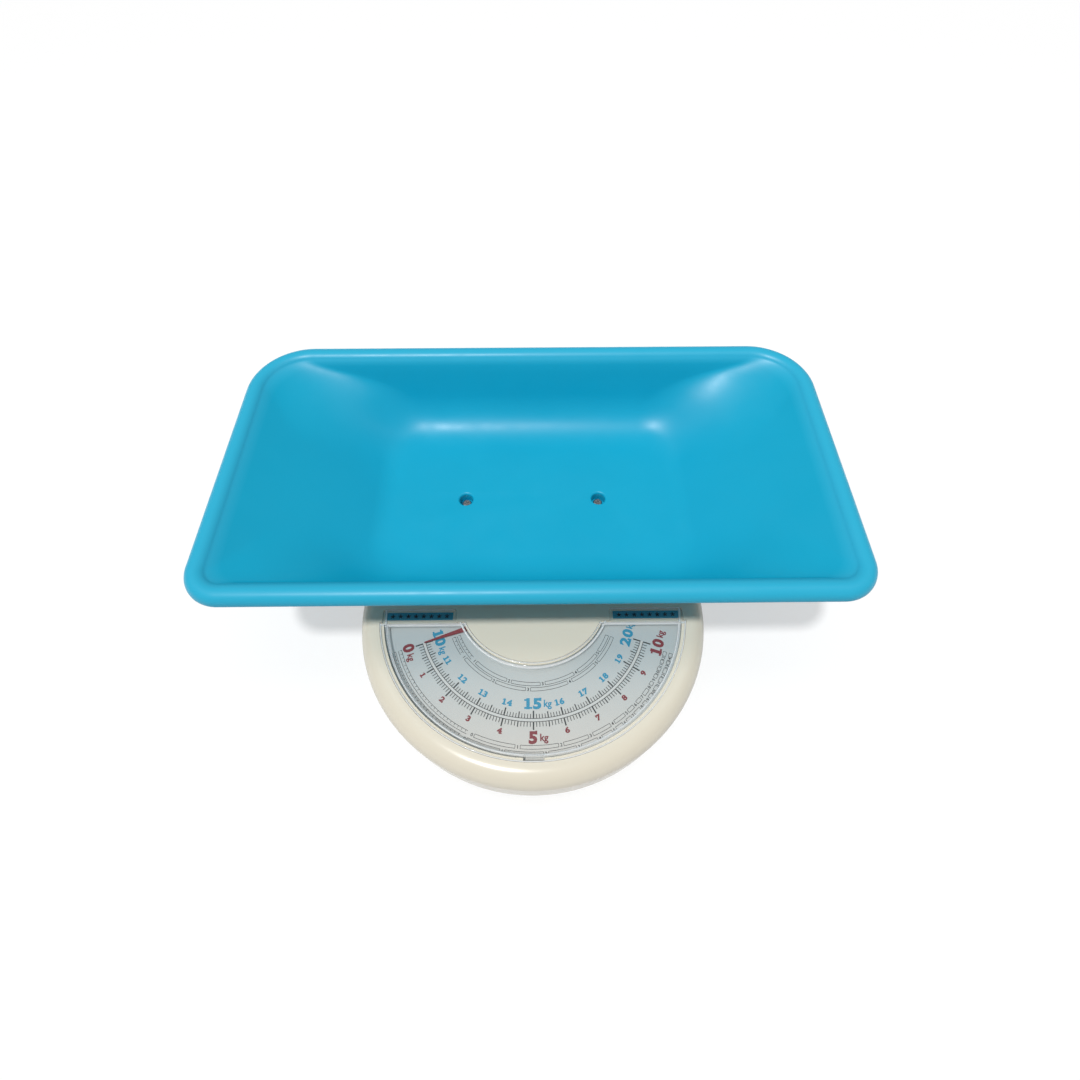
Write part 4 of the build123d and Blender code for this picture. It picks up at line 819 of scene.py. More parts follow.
@dataclass
class Tray:
    """The weighing tray: a basin with soft creases, a rolled lip, two screw cups and ribs below.

    Sizes are in metres and angles in degrees. Each level of the shell is a rectangle with its
    own half length, half width, front and back corner radii and height.
    """

    half_length: float = 0.2765
    half_width: float = 0.144
    floor_half: tuple[float, float] = (0.145, 0.098)
    depth: float = 0.069
    wall: float = 0.003
    rim_corners: tuple[float, float] = (0.033, 0.058)
    floor_corner: float = 0.038
    corner_swell: float = 0.20
    swell_power: float = 1.4
    blends: tuple[float, float] = (0.005, 0.032)
    lip_width: float = 0.0205
    lip_round: float = 0.0095
    lip_inner_round: float = 0.0095
    lip_inner_start: float = -54.0
    lip_drop: float = 0.011
    shoulder_drop: float = 0.0068
    shoulder_fillet: float = 0.011
    flat_margin: float = 0.003
    cup_radius: float = 0.0065
    cup_depth: float = 0.010
    cup_wall: float = 0.0025
    cup_spacing: float = 0.130
    mouth_round: float = 0.0024
    screw_hole: float = 0.00275
    tool_ends: tuple[float, float] = (0.001, 0.004)
    rib: float = 0.0025
    rib_margins: tuple[float, float] = (0.010, 0.008)
    corner_points: int = 26
    side_points: int = 24
    wall_rings: int = 34
    lip_steps: tuple[int, ...] = (7, 12, 14, 9, 10)
    mouth_steps: int = 7
    floor_z: float = field(init=False)
    rim_z: float = field(init=False)

    def __post_init__(self) -> None:
        """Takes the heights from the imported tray."""
        self.rim_z = TRAY_HIGH[2]
        self.floor_z = self.rim_z - self.depth

    def ring(self, levels: np.ndarray) -> np.ndarray:
        """Gives the rings of the tray's shell, one for each level.

        A ring runs around a rectangle: each corner is a quarter circle of its radius about a
        centre set in by that radius, and the sides between are straight and evenly divided.

        Args:
            levels: Rows of half length, half width, front radius, back radius and height.

        Returns:
            Points of all rings, level after level, in metres about the tray's centre.
        """
        length, width, front, back, height = (levels[:, i][:, None] for i in range(5))
        turn = np.linspace(0.0, np.pi / 2, self.corner_points)[None, :]
        corners = []
        for side_x, side_y, start in ((1, -1, -0.5), (1, 1, 0.0), (-1, 1, 0.5), (-1, -1, 1.0)):
            radius = front if side_y < 0 else back
            angle = start * np.pi + turn
            corners.append(
                (
                    side_x * (length - radius) + radius * np.cos(angle),
                    side_y * (width - radius) + radius * np.sin(angle),
                )
            )
        share = np.linspace(0, 1, self.side_points + 2)[1:-1][None, :]
        across, along = [], []
        for number, (x, y) in enumerate(corners):
            next_x, next_y = corners[(number + 1) % 4]
            across += [x, x[:, -1:] * (1 - share) + next_x[:, :1] * share]
            along += [y, y[:, -1:] * (1 - share) + next_y[:, :1] * share]
        x = np.concatenate(across, 1)
        y = np.concatenate(along, 1)
        z = np.broadcast_to(height, x.shape)
        return np.stack([x, y + TRAY_Y, z], -1).reshape(-1, 3)

    def wall_levels(self, rise: np.ndarray, grow: float = 0.0, low: float = 0.0) -> np.ndarray:
        """Levels of the basin's wall at chosen heights over its floor.

        A wall stands out by its slope times the height. Below its blend's height it is set in
        by the blend's length times the square of one less the root of the share of the blend
        that is done. The corner radii run evenly from the floor's to the rim's, and swell by
        the height's share to the swell's power times what is left of it, so that the end
        slopes run softly into the sides.

        Args:
            rise: Heights over the floor in metres.
            grow: How far the outline is moved outward.
            low: How far the level is lowered.

        Returns:
            Rows of half length, half width, front radius, back radius and height.
        """
        rise = rise[:, None]
        well = np.array([self.half_length, self.half_width]) - self.lip_width
        height = self.depth - self.shoulder_drop
        slope = (well - np.array(self.floor_half)) / height
        blends = np.array(self.blends)
        left = np.maximum(1 - np.sqrt(rise / blends), 0)
        half = np.array(self.floor_half) + slope * rise - np.hypot(1, slope) * blends * left**2
        share = rise / height
        radii = np.array(self.rim_corners) - self.lip_width
        swell = self.corner_swell * share**self.swell_power * (1 - share)
        corner = self.floor_corner + (radii - self.floor_corner) * share + swell
        return np.concatenate([half + grow, corner + grow, self.floor_z + rise - low], 1)

    def bow(
        self, middle: np.ndarray, height: float, radius: float, turn: tuple[float, float, int]
    ) -> np.ndarray:
        """Levels along part of a circle in the shell's section.

        A level stands outward of the middle by the radius times the turn's sine, and above it
        by the radius times the turn's cosine.

        Args:
            middle: Half length, half width, front radius and back radius of the circle's middle.
            height: Height of the circle's middle.
            radius: Radius of the circle.
            turn: First and last angle in degrees from upright, outward, and how many levels.

        Returns:
            Rows of half length, half width, front radius, back radius and height.
        """
        first, last, count = turn
        angle = np.radians(np.linspace(first, last, count))[:, None]
        return np.hstack([middle + radius * np.sin(angle), height + radius * np.cos(angle)])

    def lip_levels(self) -> np.ndarray:
        """Levels over the rolled lip: up from the wall, over the crown, down and back under it.

        The hollow between wall and lip is a quadratic curve whose corner is the shoulder, where
        the wall would meet the lip's steep inner side. The lip's inner and outer rolls, its
        lower edge and its underside are parts of circles.

        Returns:
            Rows of half length, half width, front radius, back radius and height.
        """
        outer = np.array([self.half_length, self.half_width, *self.rim_corners])
        crown, crown_z = outer - self.lip_round, self.rim_z - self.lip_round
        edge, edge_z = outer - self.wall / 2, self.rim_z - self.lip_drop + self.wall / 2
        inner_z = self.rim_z - self.lip_inner_round
        start = self.lip_inner_start
        hollow, inner, outside, below, under = self.lip_steps
        inner_roll = self.bow(crown, inner_z, self.lip_inner_round, (start, 0, inner))
        outer_roll = self.bow(crown, crown_z, self.lip_round, (0, 90, outside))[1:]
        lower_edge = self.bow(edge, edge_z, self.wall / 2, (90, 270, below))
        underside = self.bow(crown, crown_z, self.lip_round - self.wall, (90, 0, under))
        shoulder = self.depth - self.shoulder_drop
        rises = np.array([shoulder - self.shoulder_fillet, shoulder])
        before, corner = self.wall_levels(rises)
        step = np.linspace(0, 1, hollow + 1)[:-1, None]
        bend = (1 - step) ** 2 * before + 2 * step * (1 - step) * corner + step**2 * inner_roll[0]
        return np.concatenate([bend, inner_roll, outer_roll, lower_edge, underside])

    def shell(self) -> bpy.types.Object:
        """Builds the closed shell: basin, lip, and the same basin seen from below.

        The basin's levels stand closer together toward the floor, by the square of their share.
        The first and last ring lie flat inside the floor's edge, so that the floor shades evenly.

        Returns:
            The shell.
        """
        top = self.depth - self.shoulder_drop - self.shoulder_fillet
        rise = top * np.linspace(0, 1, self.wall_rings) ** 2
        inner = self.wall_levels(rise)[:-1]
        outer = self.wall_levels(rise, self.wall / 2, self.wall)[::-1]
        inset = np.array([[*[self.flat_margin] * 4, 0.0]])
        first, last = inner[:1] - inset, outer[-1:] - inset
        levels = np.concatenate([first, inner, self.lip_levels(), outer, last])
        columns = 4 * (self.corner_points + self.side_points)
        end = (len(levels) - 1) * columns
        faces = grid_faces(len(levels), columns)[:, ::-1].tolist()
        faces += [list(range(columns)), list(range(end, end + columns))[::-1]]
        return mesh_object("tray_shell", self.ring(levels), faces)

    def revolved(self, x: float, profile: np.ndarray, count: int = 48) -> bpy.types.Object:
        """Turns a profile about an upright axis on the tray's long middle line.

        A point lies at its radius times the turn's cosine and sine, and the ends are closed.

        Args:
            x: Where the axis stands along the tray.
            profile: Rows of radius and height, from the bottom up.
            count: Steps around.

        Returns:
            The closed object.
        """
        angle = np.linspace(0, 2 * np.pi, count, endpoint=False)[None, :]
        radius, height = profile[:, 0][:, None], profile[:, 1][:, None]
        points = np.stack(
            [
                x + radius * np.cos(angle),
                TRAY_Y + radius * np.sin(angle),
                np.broadcast_to(height, (len(profile), count)),
            ],
            -1,
        ).reshape(-1, 3)
        faces = grid_faces(len(profile), count).tolist()
        faces.append(list(range(count))[::-1])
        faces.append(list(range((len(profile) - 1) * count, len(profile) * count)))
        return mesh_object("turned", points, faces)

    def cups(self, tray: bpy.types.Object) -> None:
        """Adds the bosses and ribs below the floor, then sinks the cups with rounded mouths.

        The mouth's quarter circle turns from the floor down into the cup's wall. The tool that
        sinks them stands out a little below the boss and above the floor.

        Args:
            tray: The shell, which is changed.
        """
        bottom = self.floor_z - self.cup_depth
        low, top = bottom - self.cup_wall, self.floor_z - self.wall / 2
        places = (-self.cup_spacing / 2, self.cup_spacing / 2)
        platform_low, platform_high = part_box("platform")
        reach, span = (
            (platform_high[axis] - platform_low[axis]) / 2 - self.rib_margins[axis]
            for axis in range(2)
        )
        corners = np.array([(-1, -1), (1, -1), (1, 1), (-1, 1)])
        bars = [(0.0, reach, self.rib / 2)] + [(x, self.rib / 2, span) for x in places]
        for x, half_x, half_y in bars:
            plan = corners * (half_x, half_y) + (x, TRAY_Y)
            cut(tray, mesh_object("rib", *raise_plans(plan[None], low, top)), "UNION")
        boss = self.cup_radius + self.cup_wall
        for x in places:
            cut(tray, self.revolved(x, np.array([(boss, low), (boss, top)])), "UNION")
        mouth = np.linspace(0, np.pi / 2, self.mouth_steps)[:, None]
        wide = self.cup_radius + self.mouth_round
        round_off = np.hstack(
            [
                wide - self.mouth_round * np.cos(mouth),
                self.floor_z - self.mouth_round * (1 - np.sin(mouth)),
            ]
        )
        below, above = self.tool_ends
        hole = [(self.screw_hole, low - below), (self.screw_hole, bottom)]
        profile = np.vstack(
            [hole, [(self.cup_radius, bottom)], round_off, [(wide, self.floor_z + above)]]
        )
        for x in places:
            cut(tray, self.revolved(x, profile), "DIFFERENCE")

    def build(self, finish: bpy.types.Material) -> bpy.types.Object:
        """Builds the whole tray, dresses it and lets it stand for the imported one.

        Args:
            finish: The tray's material.

        Returns:
            The tray.
        """
        tray = self.shell()
        self.cups(tray)
        tray.name = tray.data.name = "tray_basin"
        dress(tray, finish)
        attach(tray, "weighing_table")
        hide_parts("tray")
        return tray


@dataclass(frozen=True)
class ChartRow:
    """One row of the small chart: boxes between running numbers, and a hatched stretch.

    Sizes are in metres and angles in degrees from the dial's front. The hatch has a first and a
    last angle and a step.
    """

    radius: float
    first: int
    angles: tuple[float, ...]
    hatch: tuple[float, float, float]
    height: float = 0.0030
    line: float = 0.00038
    gap: float = 0.0022


@dataclass(frozen=True)
class Lettering:
    """How figures are drawn: height in metres, weight and width as shares, slab feet or none."""

    size: float
    bold: float
    width: float
    slabs: bool


@dataclass(frozen=True)
class Turn:
    """One turn's numerals: piece, ink, first number, and the style and radius of large and small.

    The unit stands beside a large number, moved along by a length for one figure or for two.
    """

    piece: str
    ink: Ink
    first: int
    large: Lettering
    large_radius: float
    small: Lettering
    small_radius: float
    unit_moves: tuple[float, float]


CHART_ROWS = (
    ChartRow(
        0.1278,
        0,
        (-24.0, -6.0, 10.4, 22.1, 31.7, 38.6, 43.5, 47.8, 52.7, 56.3, 59.8, 63.2, 66.5, 70.4),
        (-71.0, -26.0, 1.7),
    ),
    ChartRow(
        0.1331,
        0,
        (-25.9, -11.4, 4.5, 16.6, 24.8, 30.9, 35.8, 39.9)
        + (44.7, 48.3, 52.0, 55.8, 59.7, 63.8, 67.0, 70.4),
        (-71.0, -28.0, 1.7),
    ),
    ChartRow(0.0785, 1, (-52.4, -26.5, -3.4, 24.2, 46.0, 69.0), (-68.0, -55.0, 3.0)),
    ChartRow(0.0738, 1, (-45.4, -16.9, 6.4, 30.8, 52.0, 69.0), (-68.0, -48.0, 3.0)),
)
TURNS = (
    Turn(
        piece="red_numbers",
        ink=Ink("red_ink", linear(122, 0, 24), linear(146, 30, 50)),
        first=0,
        large=Lettering(0.0098, 0.07, 1.1, True),
        large_radius=0.1195,
        small=Lettering(0.0047, 0.07, 1.2, True),
        small_radius=0.1172,
        unit_moves=(0.0090, 0.0128),
    ),
    Turn(
        piece="blue_numbers",
        ink=Ink("blue_ink", linear(0, 138, 174), linear(8, 150, 186)),
        first=10,
        large=Lettering(0.0090, 0.07, 1.2, True),
        large_radius=0.0908,
        small=Lettering(0.0051, 0.07, 1.15, True),
        small_radius=0.0923,
        unit_moves=(0.0124, 0.0124),
    ),
)
UNIT = Lettering(0.0062, 0.035, 0.92, False)
TINY = Lettering(0.0030, 0.02, 1.0, False)

# Slab feet of the figures: left, right, low and high as shares of the size about the middle
SLABS = {
    "1": ((-0.30, 0.34, -0.03, 0.15), (-0.30, 0.02, 0.74, 0.90)),
    "4": ((-0.10, 0.42, -0.03, 0.14),),
    "7": ((-0.38, -0.20, 0.58, 1.0),),
    "2": ((0.22, 0.38, 0.0, 0.32),),
    "5": ((0.18, 0.34, 0.72, 1.04),),
}


@dataclass
class Window:
    """The clear window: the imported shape, lifted a hair so that it rests just above its seat.

    Sizes are in metres and the angle of its hard edges in radians.
    """

    lift: float = 0.00015
    seat_depth: float = 0.0018
    label_depth: float = 0.0003
    margin: float = 0.0001
    weld: float = 1e-6
    hard_edge: float = 0.12

    def build(self, finish: bpy.types.Material) -> bpy.types.Object:
        """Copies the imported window, joins its loose corners and lifts its underside.

        Every corner between the seat and the label pockets' ceiling moves up by the lift.

        Args:
            finish: The clear plastic.

        Returns:
            The window.
        """
        mesh = frame["nodes"]["dial_window"].data.copy()
        mesh.name = "clear_pane"
        mesh.materials.clear()
        work = bmesh.new()
        work.from_mesh(mesh)
        bmesh.ops.remove_doubles(work, verts=work.verts, dist=self.weld)
        work.to_mesh(mesh)
        work.free()
        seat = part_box("top_housing")[1][2] - self.seat_depth
        points = corner_places(mesh)
        height = points[:, 2]
        ceiling = seat + self.label_depth
        low = (height > seat - self.margin) & (height < ceiling + self.margin)
        points[:, 2] += np.where(low, self.lift, 0.0)
        mesh.vertices.foreach_set("co", points.ravel())
        mesh.update()
        smooth_by_angle(mesh, self.hard_edge)
        window = put_in("clear_pane", mesh)
        dress(window, finish)
        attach(window, "base")
        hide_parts("dial_window")
        return window


@dataclass
class Dial:
    """The printed dial: two kilogram scales, their numerals and the small chart lines.

    Sizes are in metres. Angles are measured from the front of the dial, positive to the right,
    in degrees. The scales' marks come in three kinds: for a kilogram, a half and a tenth.
    """

    height: float = field(init=False)
    ink: float = 0.00012
    swing: float = 70.7
    past_end: float = 0.3
    kilos: int = 10
    parts: int = 10
    large_every: int = 5
    line_inner: float = 0.1039
    line_outer: float = 0.1067
    line_width: float = 0.0005
    band_width: float = 0.0022
    mark_widths: tuple[float, ...] = (0.0012, 0.0009, 0.0006)
    outer_ends: tuple[float, ...] = (0.1134, 0.1116, 0.1109)
    inner_ends: tuple[float, ...] = (0.0972, 0.0985, 0.1000)
    arc_step: float = 1.5
    hatch_share: float = 0.6
    font_ratio: float = 1.37
    font_steps: int = 3
    figure_gap: float = 0.07
    foot_top: float = 0.51
    large_back: float = 0.0005
    clear: float = 0.00001

    def __post_init__(self) -> None:
        """Takes the printed face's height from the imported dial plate."""
        self.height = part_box("dial_plate")[1][2]

    def bars(self, rows: np.ndarray) -> tuple[np.ndarray, list]:
        """Makes a thin block for each printed line that runs toward the dial's centre.

        A block's corners lie at its two radii, half its width to either side of its angle, on
        the dial's face and one ink layer above.

        Args:
            rows: Rows of angle in degrees, inner radius, outer radius and width in metres.

        Returns:
            Points and faces.
        """
        angle = np.radians(rows[:, 0])
        out = np.stack([np.sin(angle), -np.cos(angle)], -1)[:, None, :]
        side = np.stack([np.cos(angle), np.sin(angle)], -1)[:, None, :]
        radius = rows[:, [1, 2, 2, 1]][:, :, None]
        half = (rows[:, 3] / 2)[:, None, None] * np.array([-1, -1, 1, 1])[None, :, None]
        plan = out * radius + side * half
        plan[..., 1] += DIAL_Y
        return raise_plans(plan, self.height, self.height + self.ink)

    def arcs(self, rows: list[tuple[float, float, float, float]]) -> tuple[np.ndarray, list]:
        """Makes printed circle lines as rows of short blocks.

        A block's corners lie half the line's width inside and outside the radius, at two
        neighbouring angles.

        Args:
            rows: Radius, line width, and first and last angle.

        Returns:
            Points and faces.
        """
        plans = []
        for radius, width, first, last in rows:
            steps = max(int(abs(last - first) / self.arc_step), 2)
            angle = np.radians(np.linspace(first, last, steps + 1))
            out = np.stack([np.sin(angle), -np.cos(angle)], -1)
            inner = out * (radius - width / 2)
            outer = out * (radius + width / 2)
            plans.append(np.stack([inner[:-1], outer[:-1], outer[1:], inner[1:]], 1))
        plan = np.concatenate(plans) + (0.0, DIAL_Y)
        return raise_plans(plan, self.height, self.height + self.ink)

    def marks(self) -> np.ndarray:
        """Lists the marks of the two kilogram scales.

        Returns:
            Rows of angle, inner radius, outer radius and width.
        """
        part = np.arange(0, self.kilos * self.parts + 1)
        kind = np.where(part % self.parts == 0, 0, np.where(part % (self.parts // 2) == 0, 1, 2))
        ends = (self.mark_widths, self.outer_ends, self.inner_ends)
        width, outer_end, inner_end = (np.array(values)[kind] for values in ends)
        angle = self.angle_of(part / self.parts)
        rows_out = np.stack([angle, np.full(len(part), self.line_outer), outer_end, width], -1)
        rows_in = np.stack([angle, inner_end, np.full(len(part), self.line_inner), width], -1)
        return np.concatenate([rows_out, rows_in])

    def chart(self, row: ChartRow) -> tuple[list, list]:
        """Lays out one row of the small chart: boxes between numbers, and a hatched stretch.

        Each box is two arcs and two end bars between one number and the next.

        Args:
            row: The row's radius, its numbers' angles and its hatch.

        Returns:
            Arc rows and bar rows.
        """
        low, high = row.radius - row.height / 2, row.radius + row.height / 2
        hatch_high = low + row.height * self.hatch_share
        gap = np.degrees(row.gap / row.radius)
        arcs, bars = [], []
        for first, last in zip(row.angles, row.angles[1:]):
            ends = (first + gap, last - gap)
            arcs += [(radius, row.line, *ends) for radius in (low, high)]
            bars += [(angle, low, high, row.line) for angle in ends]
        bars += [(angle, low, hatch_high, row.line) for angle in np.arange(*row.hatch)]
        arcs += [(radius, row.line, *row.hatch[:2]) for radius in (low, high)]
        return arcs, bars

    def glyph(self, letter: str, size: float, bold: float) -> tuple[np.ndarray, list]:
        """Makes one figure about its own middle, standing on y = 0, in the built-in font.

        Args:
            letter: The figure or letters.
            size: Height of a figure in metres.
            bold: How much the strokes are thickened, as a share of the size.

        Returns:
            Points and faces.
        """
        curve = bpy.data.curves.new("numeral", "FONT")
        curve.body = letter
        curve.size = size * self.font_ratio
        curve.align_x = "CENTER"
        curve.offset = bold * size
        curve.extrude = self.ink / 2
        curve.resolution_u = self.font_steps
        holder = put_in("numeral", curve)
        bpy.context.view_layer.update()
        mesh = bpy.data.meshes.new_from_object(
            holder.evaluated_get(bpy.context.evaluated_depsgraph_get())
        )
        points = corner_places(mesh)
        points[:, 0] -= (points[:, 0].min() + points[:, 0].max()) / 2
        faces = [list(face.vertices) for face in mesh.polygons]
        bpy.data.objects.remove(holder)
        bpy.data.curves.remove(curve)
        bpy.data.meshes.remove(mesh)
        return points, faces

    def numeral(
        self, text: str, angle: float, radius: float, style: Lettering, shift: float = 0.0
    ) -> tuple[np.ndarray, list]:
        """Prints a number upright toward the dial's centre, with slab feet where it has them.

        Each figure is placed by its width and a gap along the line, then all are turned about
        the dial's centre to their angle. A foot is a block whose top, a share of the ink's
        thickness above its middle, is a hair above the figure's face.

        Args:
            text: What it says.
            angle: Where it stands, in degrees from the front.
            radius: Distance of its middle from the centre.
            style: Size, weight and width of the figures.
            shift: How far its middle is moved along the circle.

        Returns:
            Points and faces.
        """
        size = style.size
        shapes, widths = [], []
        for letter in text if style.slabs else [text]:
            shape = self.glyph(letter, size, style.bold)
            feet = np.array(SLABS.get(letter, ()) if style.slabs else ())
            if len(feet):
                plan = feet[:, [0, 2, 1, 2, 1, 3, 0, 3]].reshape(-1, 4, 2) * size
                foot = raise_plans(plan, -self.ink / 2, self.foot_top * self.ink)
                shape = joined([shape, foot])
            points = shape[0] * (style.width, 1.0, 1.0)
            shapes.append((points, shape[1]))
            widths.append(np.ptp(points[:, 0]) + self.figure_gap * size)
        start = -sum(widths) / 2 + shift
        placed = []
        for (points, faces), width in zip(shapes, widths):
            middle = (points[:, 0].min() + points[:, 0].max()) / 2
            placed.append((points + (start + width / 2 - middle, -size / 2, 0.0), faces))
            start += width
        points, faces = joined(placed)
        turn = np.radians(angle)
        spin = np.array([[np.cos(turn), np.sin(turn)], [-np.sin(turn), np.cos(turn)]])
        flat = points[:, :2] @ spin
        flat += (radius * np.sin(turn), DIAL_Y - radius * np.cos(turn))
        height = points[:, 2:] + self.height + self.ink / 2 + self.clear
        return np.concatenate([flat, height], 1), faces

    def print_ink(self, name: str, parts: list, finish: bpy.types.Material) -> bpy.types.Object:
        """Joins printed parts into one piece on the dial.

        Args:
            name: Name of the piece.
            parts: Pairs of points and faces.
            finish: The ink.

        Returns:
            The printed piece.
        """
        piece = mesh_object(name, *joined(parts), INK_EDGE)
        dress(piece, finish)
        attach(piece, "base")
        return piece

    def angle_of(self, kilo: float | np.ndarray) -> float | np.ndarray:
        """Where a kilogram mark of either turn stands, in degrees from the front."""
        return self.swing * (kilo / (self.kilos / 2) - 1)

    def numerals(self, turn: Turn) -> list[tuple[np.ndarray, list]]:
        """Makes the numbers of one turn, with the unit beside every fifth.

        Args:
            turn: The turn's first number, styles and radii.

        Returns:
            Pairs of points and faces.
        """
        parts = []
        for kilo in range(self.kilos + 1):
            angle, text = self.angle_of(kilo), str(turn.first + kilo)
            if kilo % self.large_every:
                parts.append(self.numeral(text, angle, turn.small_radius, turn.small))
                continue
            radius, move = turn.large_radius, turn.unit_moves[len(text) - 1]
            parts.append(self.numeral(text, angle, radius, turn.large, -self.large_back))
            parts.append(self.numeral("kg", angle, radius, UNIT, move))
        return parts

    def build(self) -> list[bpy.types.Object]:
        """Prints the marks, the small chart, the pale band and the numerals.

        Returns:
            The printed pieces.
        """
        black = BLACK_INK.make()
        end = self.swing + self.past_end
        lines = (self.line_inner, self.line_outer)
        arcs = [(radius, self.line_width, -end, end) for radius in lines]
        bars, smalls = self.marks().tolist(), []
        for row in CHART_ROWS:
            row_arcs, row_bars = self.chart(row)
            arcs += row_arcs
            bars += row_bars
            for number, angle in enumerate(row.angles[:-1], row.first):
                smalls.append(self.numeral(str(number), angle, row.radius, TINY))
        band = [(sum(lines) / 2, self.band_width, -end, end)]
        pieces = [
            self.print_ink("dial_marks", [self.bars(np.array(bars)), self.arcs(arcs)], black),
            self.print_ink("chart_numbers", smalls, black),
            self.print_ink("white_band", [self.arcs(band)], WHITE_INK.make()),
        ]
        for turn in TURNS:
            pieces.append(self.print_ink(turn.piece, self.numerals(turn), turn.ink.make()))
        return pieces


@dataclass
class LabelMarks:
    """The dark star marks printed on the two label strips under the window's end pads.

    Sizes are in metres.
    """

    count: int = 8
    pitch: float = 0.0071
    arms: int = 5
    arm: float = 0.0021
    stroke: float = 0.0009
    ink: float = 0.00012
    clear: float = 0.00008

    def build(self, finish: bpy.types.Material) -> bpy.types.Object:
        """Prints rows of stars: bars from each star's middle at even angles, one pointing back.

        A bar's corners lie at no reach and the arm's reach along its direction, half the
        stroke to either side.

        Args:
            finish: The ink.

        Returns:
            The marks.
        """
        low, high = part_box("label_strips")
        turns = np.radians(np.arange(self.arms) * 360.0 / self.arms + 90.0)
        out = np.stack([np.cos(turns), np.sin(turns)], -1)
        side = np.stack([-out[:, 1], out[:, 0]], -1)
        row = (np.arange(self.count) - (self.count - 1) / 2) * self.pitch
        strip_x = (high[0] + self.inner_end()) / 2
        x = np.concatenate([row - strip_x, row + strip_x])
        centre = np.stack([x, np.full(len(x), (low[1] + high[1]) / 2)], -1)[:, None, None, :]
        half = self.stroke / 2
        reach = np.array([0.0, self.arm, self.arm, 0.0])[:, None]
        across = np.array([-half, -half, half, half])[:, None]
        plan = centre + out[:, None, :] * reach + side[:, None, :] * across
        top = high[2] + self.clear
        marks = raise_plans(plan.reshape(-1, 4, 2), top - self.ink, top)
        piece = mesh_object("label_marks", *marks, INK_EDGE)
        dress(piece, finish)
        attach(piece, "base")
        return piece

    def inner_end(self) -> float:
        """Finds how far from the middle a strip begins: the least x among the strips' corners."""
        return float(np.abs(corner_places(frame["nodes"]["label_strips"].data)[:, 0]).min())


def dress_nodes(finishes: dict[Slot, bpy.types.Material]) -> None:
    """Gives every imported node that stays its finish.

    Args:
        finishes: The materials by slot.
    """
    for slot, names in NODE_SLOTS.items():
        for name in names:
            dress(frame["nodes"][name], finishes[slot])
            LOG.info("dressed %s as %s", name, slot.value)


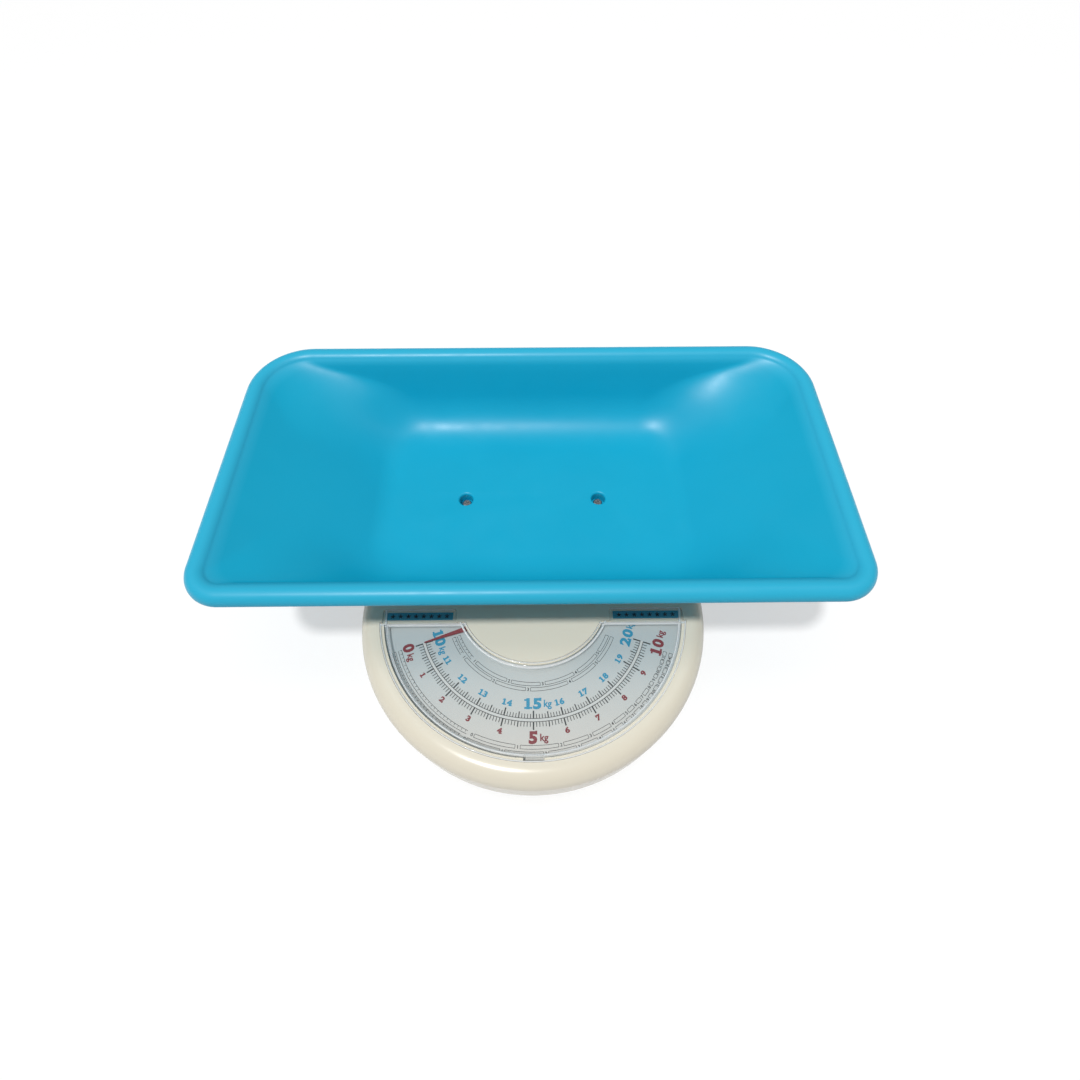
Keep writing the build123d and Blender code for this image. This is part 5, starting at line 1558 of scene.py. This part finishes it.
@dataclass
class Studio:
    """Camera, pale floor and soft light, placed about the dial's axis.

    Sizes are in metres, the lens and sensor in millimetres, and angles in radians.
    """

    place: tuple[float, float, float] = (0.003787, -0.245612, 0.569696)
    pitch: float = np.radians(58.056)
    yaw: float = np.radians(0.641)
    roll: float = np.radians(0.072)
    lens: float = 20.0
    sensor: float = 36.0
    near_clip: float = 0.01
    floor_half: float = 4.0
    floor_grey: float = 0.5
    floor_lift: float = 0.52
    sun_level: float = 2.2
    sun_angle: float = np.radians(5.0)
    sun_toward: tuple[float, float, float] = (-0.18, -0.27, 0.94)
    world_level: float = 0.28
    strip_size: tuple[float, float] = (2.4, 0.35)
    strip_watts: float = 2.5
    strip_height: float = 1.2

    def stand(self, obj: bpy.types.Object, axes: list[np.ndarray], place: np.ndarray) -> None:
        """Places and turns an object.

        Args:
            obj: The object.
            axes: Where its own x, y and z point, each of length 1.
            place: Where its origin stands.
        """
        matrix = np.eye(4)
        matrix[:3] = np.stack([*axes, place], 1)
        obj.matrix_world = Matrix(matrix.tolist())

    def camera(self) -> None:
        """Sets the camera: forward from pitch and yaw, then the frame turned by the roll."""
        level = np.array([np.cos(self.yaw), -np.sin(self.yaw), 0.0])
        ahead = np.array([np.sin(self.yaw), np.cos(self.yaw), 0.0])
        forward = ahead * np.cos(self.pitch) - np.array([0.0, 0.0, np.sin(self.pitch)])
        rise = np.cross(level, forward)
        right = np.cos(self.roll) * level + np.sin(self.roll) * rise
        up = -np.sin(self.roll) * level + np.cos(self.roll) * rise
        data = bpy.data.cameras.new("camera")
        data.lens = self.lens
        data.sensor_width = self.sensor
        data.clip_start = self.near_clip
        obj = put_in("camera", data)
        self.stand(obj, [right, up, -forward], np.array(self.place) + (0, DIAL_Y, 0))
        bpy.context.scene.camera = obj

    def seen_white(self, tree: bpy.types.NodeTree) -> bpy.types.NodeSocket:
        """Adds the share of rays that come from the camera, a gloss or a clear piece.

        Args:
            tree: The finish's nodes.

        Returns:
            1 for such a ray and 0 for the others: the largest of the three.
        """
        rays = add_node(tree, "ShaderNodeLightPath").outputs
        total = rays["Is Camera Ray"]
        for key in ("Is Glossy Ray", "Is Transmission Ray"):
            node = add_node(tree, "ShaderNodeMath", total, rays[key])
            node.operation = "MAXIMUM"
            total = node.outputs[0]
        return total

    def floor(self) -> None:
        """Lays a wide pale floor that keeps the object's shadow and is clear from below."""
        corners = np.array([(-1, -1, 0), (1, -1, 0), (1, 1, 0), (-1, 1, 0)])
        floor = mesh_object("floor", corners * self.floor_half, [[0, 1, 2, 3]])
        material = bpy.data.materials.new("pale_floor")
        material.use_nodes = True
        tree = material.node_tree
        tree.nodes.clear()
        diffuse = add_node(tree, "ShaderNodeBsdfDiffuse")
        diffuse.inputs["Color"].default_value = (*[self.floor_grey] * 3, 1.0)
        lift = add_node(tree, "ShaderNodeMath", self.seen_white(tree))
        lift.operation = "MULTIPLY"
        lift.inputs[1].default_value = self.floor_lift
        glow = add_node(tree, "ShaderNodeEmission")
        tree.links.new(lift.outputs[0], glow.inputs["Strength"])
        above = add_node(tree, "ShaderNodeAddShader", diffuse.outputs[0], glow.outputs[0])
        below = add_node(tree, "ShaderNodeBsdfTransparent")
        side = add_node(tree, "ShaderNodeNewGeometry").outputs["Backfacing"]
        both = add_node(tree, "ShaderNodeMixShader", side, above.outputs[0], below.outputs[0])
        add_node(tree, "ShaderNodeOutputMaterial", both.outputs[0])
        dress(floor, material)

    def light(self) -> None:
        """Sets an even world light, a high sun from the front left and a long strip overhead."""
        world = bpy.data.worlds.new("studio")
        bpy.context.scene.world = world
        world.use_nodes = True
        tree = world.node_tree
        back = tree.nodes["Background"]
        back.inputs["Color"].default_value = WHITE
        seen = add_node(tree, "ShaderNodeLightPath").outputs["Is Camera Ray"]
        level = add_node(tree, "ShaderNodeMapRange", seen)
        level.inputs["To Min"].default_value = self.world_level
        level.inputs["To Max"].default_value = 1.0
        tree.links.new(level.outputs["Result"], back.inputs["Strength"])
        sun = bpy.data.lights.new("sun", "SUN")
        sun.energy = self.sun_level
        sun.angle = self.sun_angle
        toward = np.array(self.sun_toward) / np.linalg.norm(self.sun_toward)
        side = np.cross([0.0, 1.0, 0.0], toward)
        side /= np.linalg.norm(side)
        self.stand(put_in("sun", sun), [side, np.cross(toward, side), toward], np.zeros(3))
        lamp = bpy.data.lights.new("strip", "AREA")
        lamp.shape = "RECTANGLE"
        lamp.size, lamp.size_y = self.strip_size
        lamp.energy = self.strip_watts
        put_in("strip", lamp).location = (0.0, TRAY_Y, self.strip_height)

    def build(self) -> None:
        """Sets camera, floor and light, with colours shown as they are."""
        self.camera()
        self.floor()
        self.light()
        bpy.context.scene.view_settings.view_transform = "Standard"


def main() -> None:
    """Builds and dresses everything in order."""
    logging.basicConfig(level=logging.INFO, format="%(name)s: %(message)s")
    finishes = {slot: finish.make() for slot, finish in FINISHES.items()}
    Studio().build()
    dress_nodes(finishes)
    pieces = [Tray().build(finishes[Slot.TRAY]), Window().build(finishes[Slot.CLEAR])]
    pieces += Dial().build()
    pieces.append(LabelMarks().build(BLACK_INK.make()))
    for piece in pieces:
        LOG.info("built %s with %d faces", piece.name, len(piece.data.polygons))


if __name__ == "__main__":
    main()
